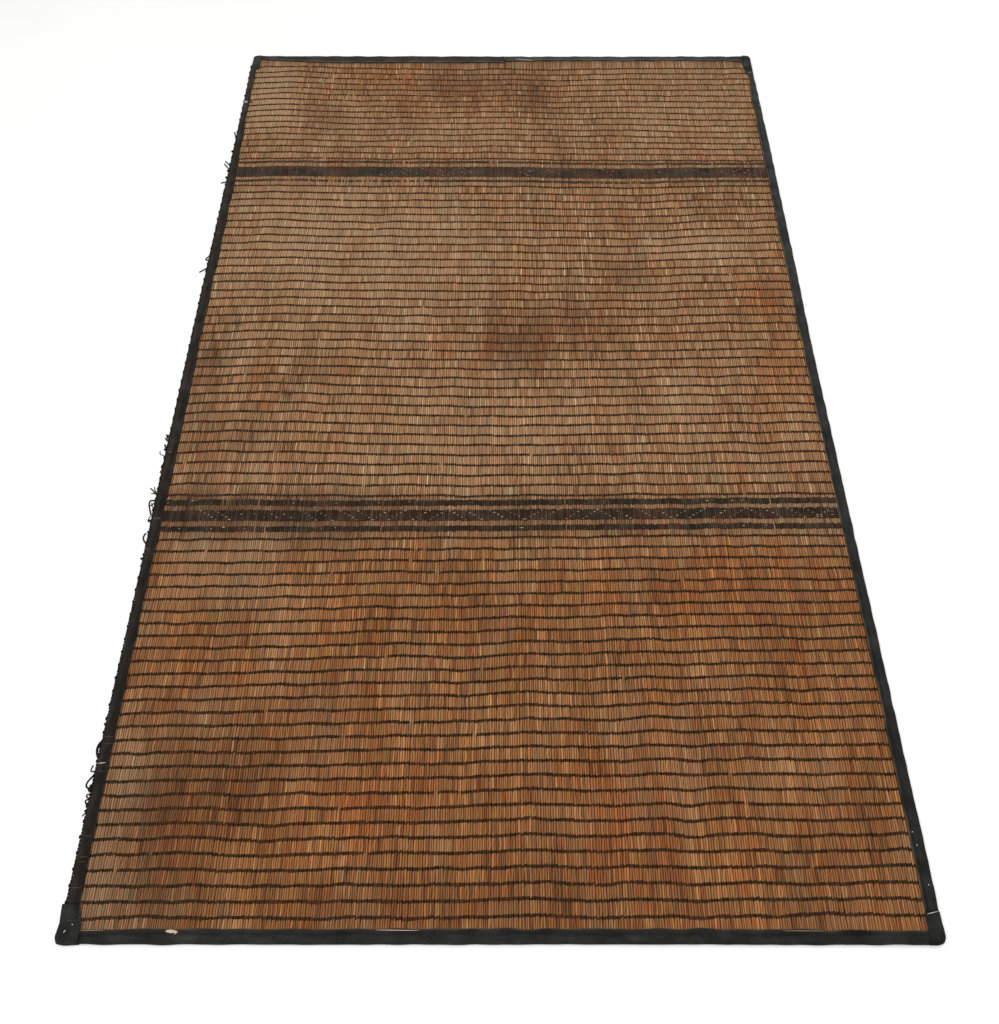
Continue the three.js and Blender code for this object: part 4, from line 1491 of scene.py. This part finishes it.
class MAT_OT_tapes(bpy.types.Operator):
    """Folds the cloth tapes and corner pieces round the edge"""
    bl_idname = "mat.tapes"
    bl_label = "Cloth tapes"

    def execute(self, context):
        settings = context.scene.mat_tape
        rubbed_and_lit = tuple(settings.rubbed_and_lit)
        codes = {entry["cloth"] for entry in (*TAPES, *CORNERS)}
        cloths = {
            code: faded_tape_cloth(f"faded_tape_cloth_{number}", linear(code), rubbed_and_lit)
            for number, code in enumerate(sorted(codes), 1)}
        for entry in TAPES:
            obj = build_tape(entry, settings)
            finish_piece(obj, cloths[entry["cloth"]], [entry["name"]])
        for entry in CORNERS:
            finish_piece(build_corner(entry, settings), cloths[entry["cloth"]], [entry["name"]])
        joins = undyed_strip("pinkish_leather_strip", linear("c3aea0"))
        finish_piece(build_tape_bits("join"), joins)
        threads = undyed_strip("white_cotton_thread", linear("ebe7df"))
        finish_piece(build_tape_bits("thread"), threads)
        return {"FINISHED"}


class MAT_OT_fringe(bpy.types.Operator):
    """Makes the selvedge cord, its knots and the torn fringe ends"""
    bl_idname = "mat.fringe"
    bl_label = "Fringe remains"

    def execute(self, context):
        settings = context.scene.mat_fringe
        leather = goat_leather("knotted_goat_leather", tuple(settings.leather), grain=1.2 * MM)
        finish_piece(build_selvedge(), leather, ["left_fringe"])
        finish_piece(build_strands(settings), leather)
        finish_piece(build_knots(), leather)
        return {"FINISHED"}


def area_light(name, place, target, size, power):
    """A soft lamp that faces a point."""
    light = bpy.data.lights.new(name, "AREA")
    light.shape = "RECTANGLE"
    light.size, light.size_y = size
    light.energy = power
    obj = bpy.data.objects.new(name, light)
    obj.location = place
    direction = Vector(target) - Vector(place)
    obj.rotation_euler = direction.to_track_quat("-Z", "Y").to_euler()
    bpy.context.scene.collection.objects.link(obj)
    return obj


class MAT_OT_stage(bpy.types.Operator):
    """Sets up the floor, the lights and the camera"""
    bl_idname = "mat.stage"
    bl_label = "Stage"

    def execute(self, context):
        settings = context.scene.mat_stage
        scene = context.scene
        bm = bmesh.new()
        bmesh.ops.create_grid(bm, x_segments=1, y_segments=1, size=9)
        floor = mesh_object("floor", bm)
        material, tree, shader = new_material("white_studio_paper")
        fleck = noise_on_place(tree, (0.4, 0.4, 0.4), detail=2.0)
        paper = mixed(
            tree, spread_out(tree, fleck, 0.3, 0.7), tuple(settings.floor), linear("f0f0ee"))
        tree.links.new(paper, shader.inputs["Base Color"])
        shader.inputs["Roughness"].default_value = 0.9
        floor.data.materials.append(material)
        area_light("key_light", (-1.2, -1.6, 3.4), (0, 0, 0), (2.6, 2.6), 95)
        area_light("fill_light", (1.6, 1.2, 3.2), (0, 0, 0), (3.0, 3.0), 55)
        world = bpy.data.worlds.new("studio")
        world.use_nodes = True
        world.node_tree.nodes["Background"].inputs["Color"].default_value = (1, 1, 1, 1)
        world.node_tree.nodes["Background"].inputs["Strength"].default_value = 0.55
        scene.world = world
        scene.view_settings.view_transform = "Standard"
        camera_data = bpy.data.cameras.new("camera")
        camera_data.lens = settings.lens
        camera_data.sensor_width = 36
        camera = bpy.data.objects.new("camera", camera_data)
        camera.matrix_world = camera_matrix()
        scene.collection.objects.link(camera)
        scene.camera = camera
        return {"FINISHED"}


def camera_matrix():
    """Held by hand above the near edge: 52 degrees down, hardly turned and hardly tilted."""
    place = Vector((0.0004 + MIDDLE_X, -1.4684, 1.5167))
    down = math.radians(52.33)
    yaw = -0.0023
    roll = 0.0017
    forward = Vector((math.sin(yaw) * math.cos(down), math.cos(yaw) * math.cos(down), -math.sin(down)))
    level = forward.cross(Vector((0, 0, 1))).normalized()
    upright = level.cross(forward)
    right = level * math.cos(roll) - upright * math.sin(roll)
    up = right.cross(forward)
    turned = Matrix((right, up, -forward)).transposed().to_4x4()
    return Matrix.Translation(place) @ turned


class MAT_PT_panel(bpy.types.Panel):
    """The mat's settings and the operators that build it"""
    bl_idname = "MAT_PT_panel"
    bl_label = "Reed and leather mat"
    bl_space_type = "VIEW_3D"
    bl_region_type = "UI"
    bl_category = "Mat"

    def draw(self, context):
        for group, operator, names in PANEL_ROWS:
            box = self.layout.box()
            for name in names:
                box.prop(getattr(context.scene, group), name)
            box.operator(operator)


PANEL_ROWS = (
    ("mat_stage", "mat.stage", ("lens", "floor")),
    ("mat_reed", "mat.reeds", ("stalks", "sides", "pinch", "light", "middle", "dark")),
    ("mat_thong", "mat.thongs", ("length", "width", "slant", "leather")),
    ("mat_band", "mat.bands", ("rise", "rib", "leather", "dash")),
    ("mat_tape", "mat.tapes", ("thickness", "step", "rubbed_and_lit")),
    ("mat_fringe", "mat.fringe", ("strand", "leather")),
)

SETTINGS = {
    "mat_reed": ReedSettings,
    "mat_thong": ThongSettings,
    "mat_band": BandSettings,
    "mat_tape": TapeSettings,
    "mat_fringe": FringeSettings,
    "mat_stage": StageSettings,
}

OPERATORS = (MAT_OT_stage, MAT_OT_reeds, MAT_OT_thongs, MAT_OT_bands, MAT_OT_tapes, MAT_OT_fringe)


def register():
    for group in SETTINGS.values():
        bpy.utils.register_class(group)
    for name, group in SETTINGS.items():
        setattr(bpy.types.Scene, name, PointerProperty(type=group))
    for operator in OPERATORS:
        bpy.utils.register_class(operator)
    bpy.utils.register_class(MAT_PT_panel)


def unregister():
    bpy.utils.unregister_class(MAT_PT_panel)
    for operator in reversed(OPERATORS):
        bpy.utils.unregister_class(operator)
    for name, group in SETTINGS.items():
        delattr(bpy.types.Scene, name)
        bpy.utils.unregister_class(group)


def main():
    register()
    bpy.ops.mat.stage()
    bpy.ops.mat.reeds()
    bpy.ops.mat.thongs()
    bpy.ops.mat.bands()
    bpy.ops.mat.tapes()
    bpy.ops.mat.fringe()


if __name__ == "__main__":
    main()
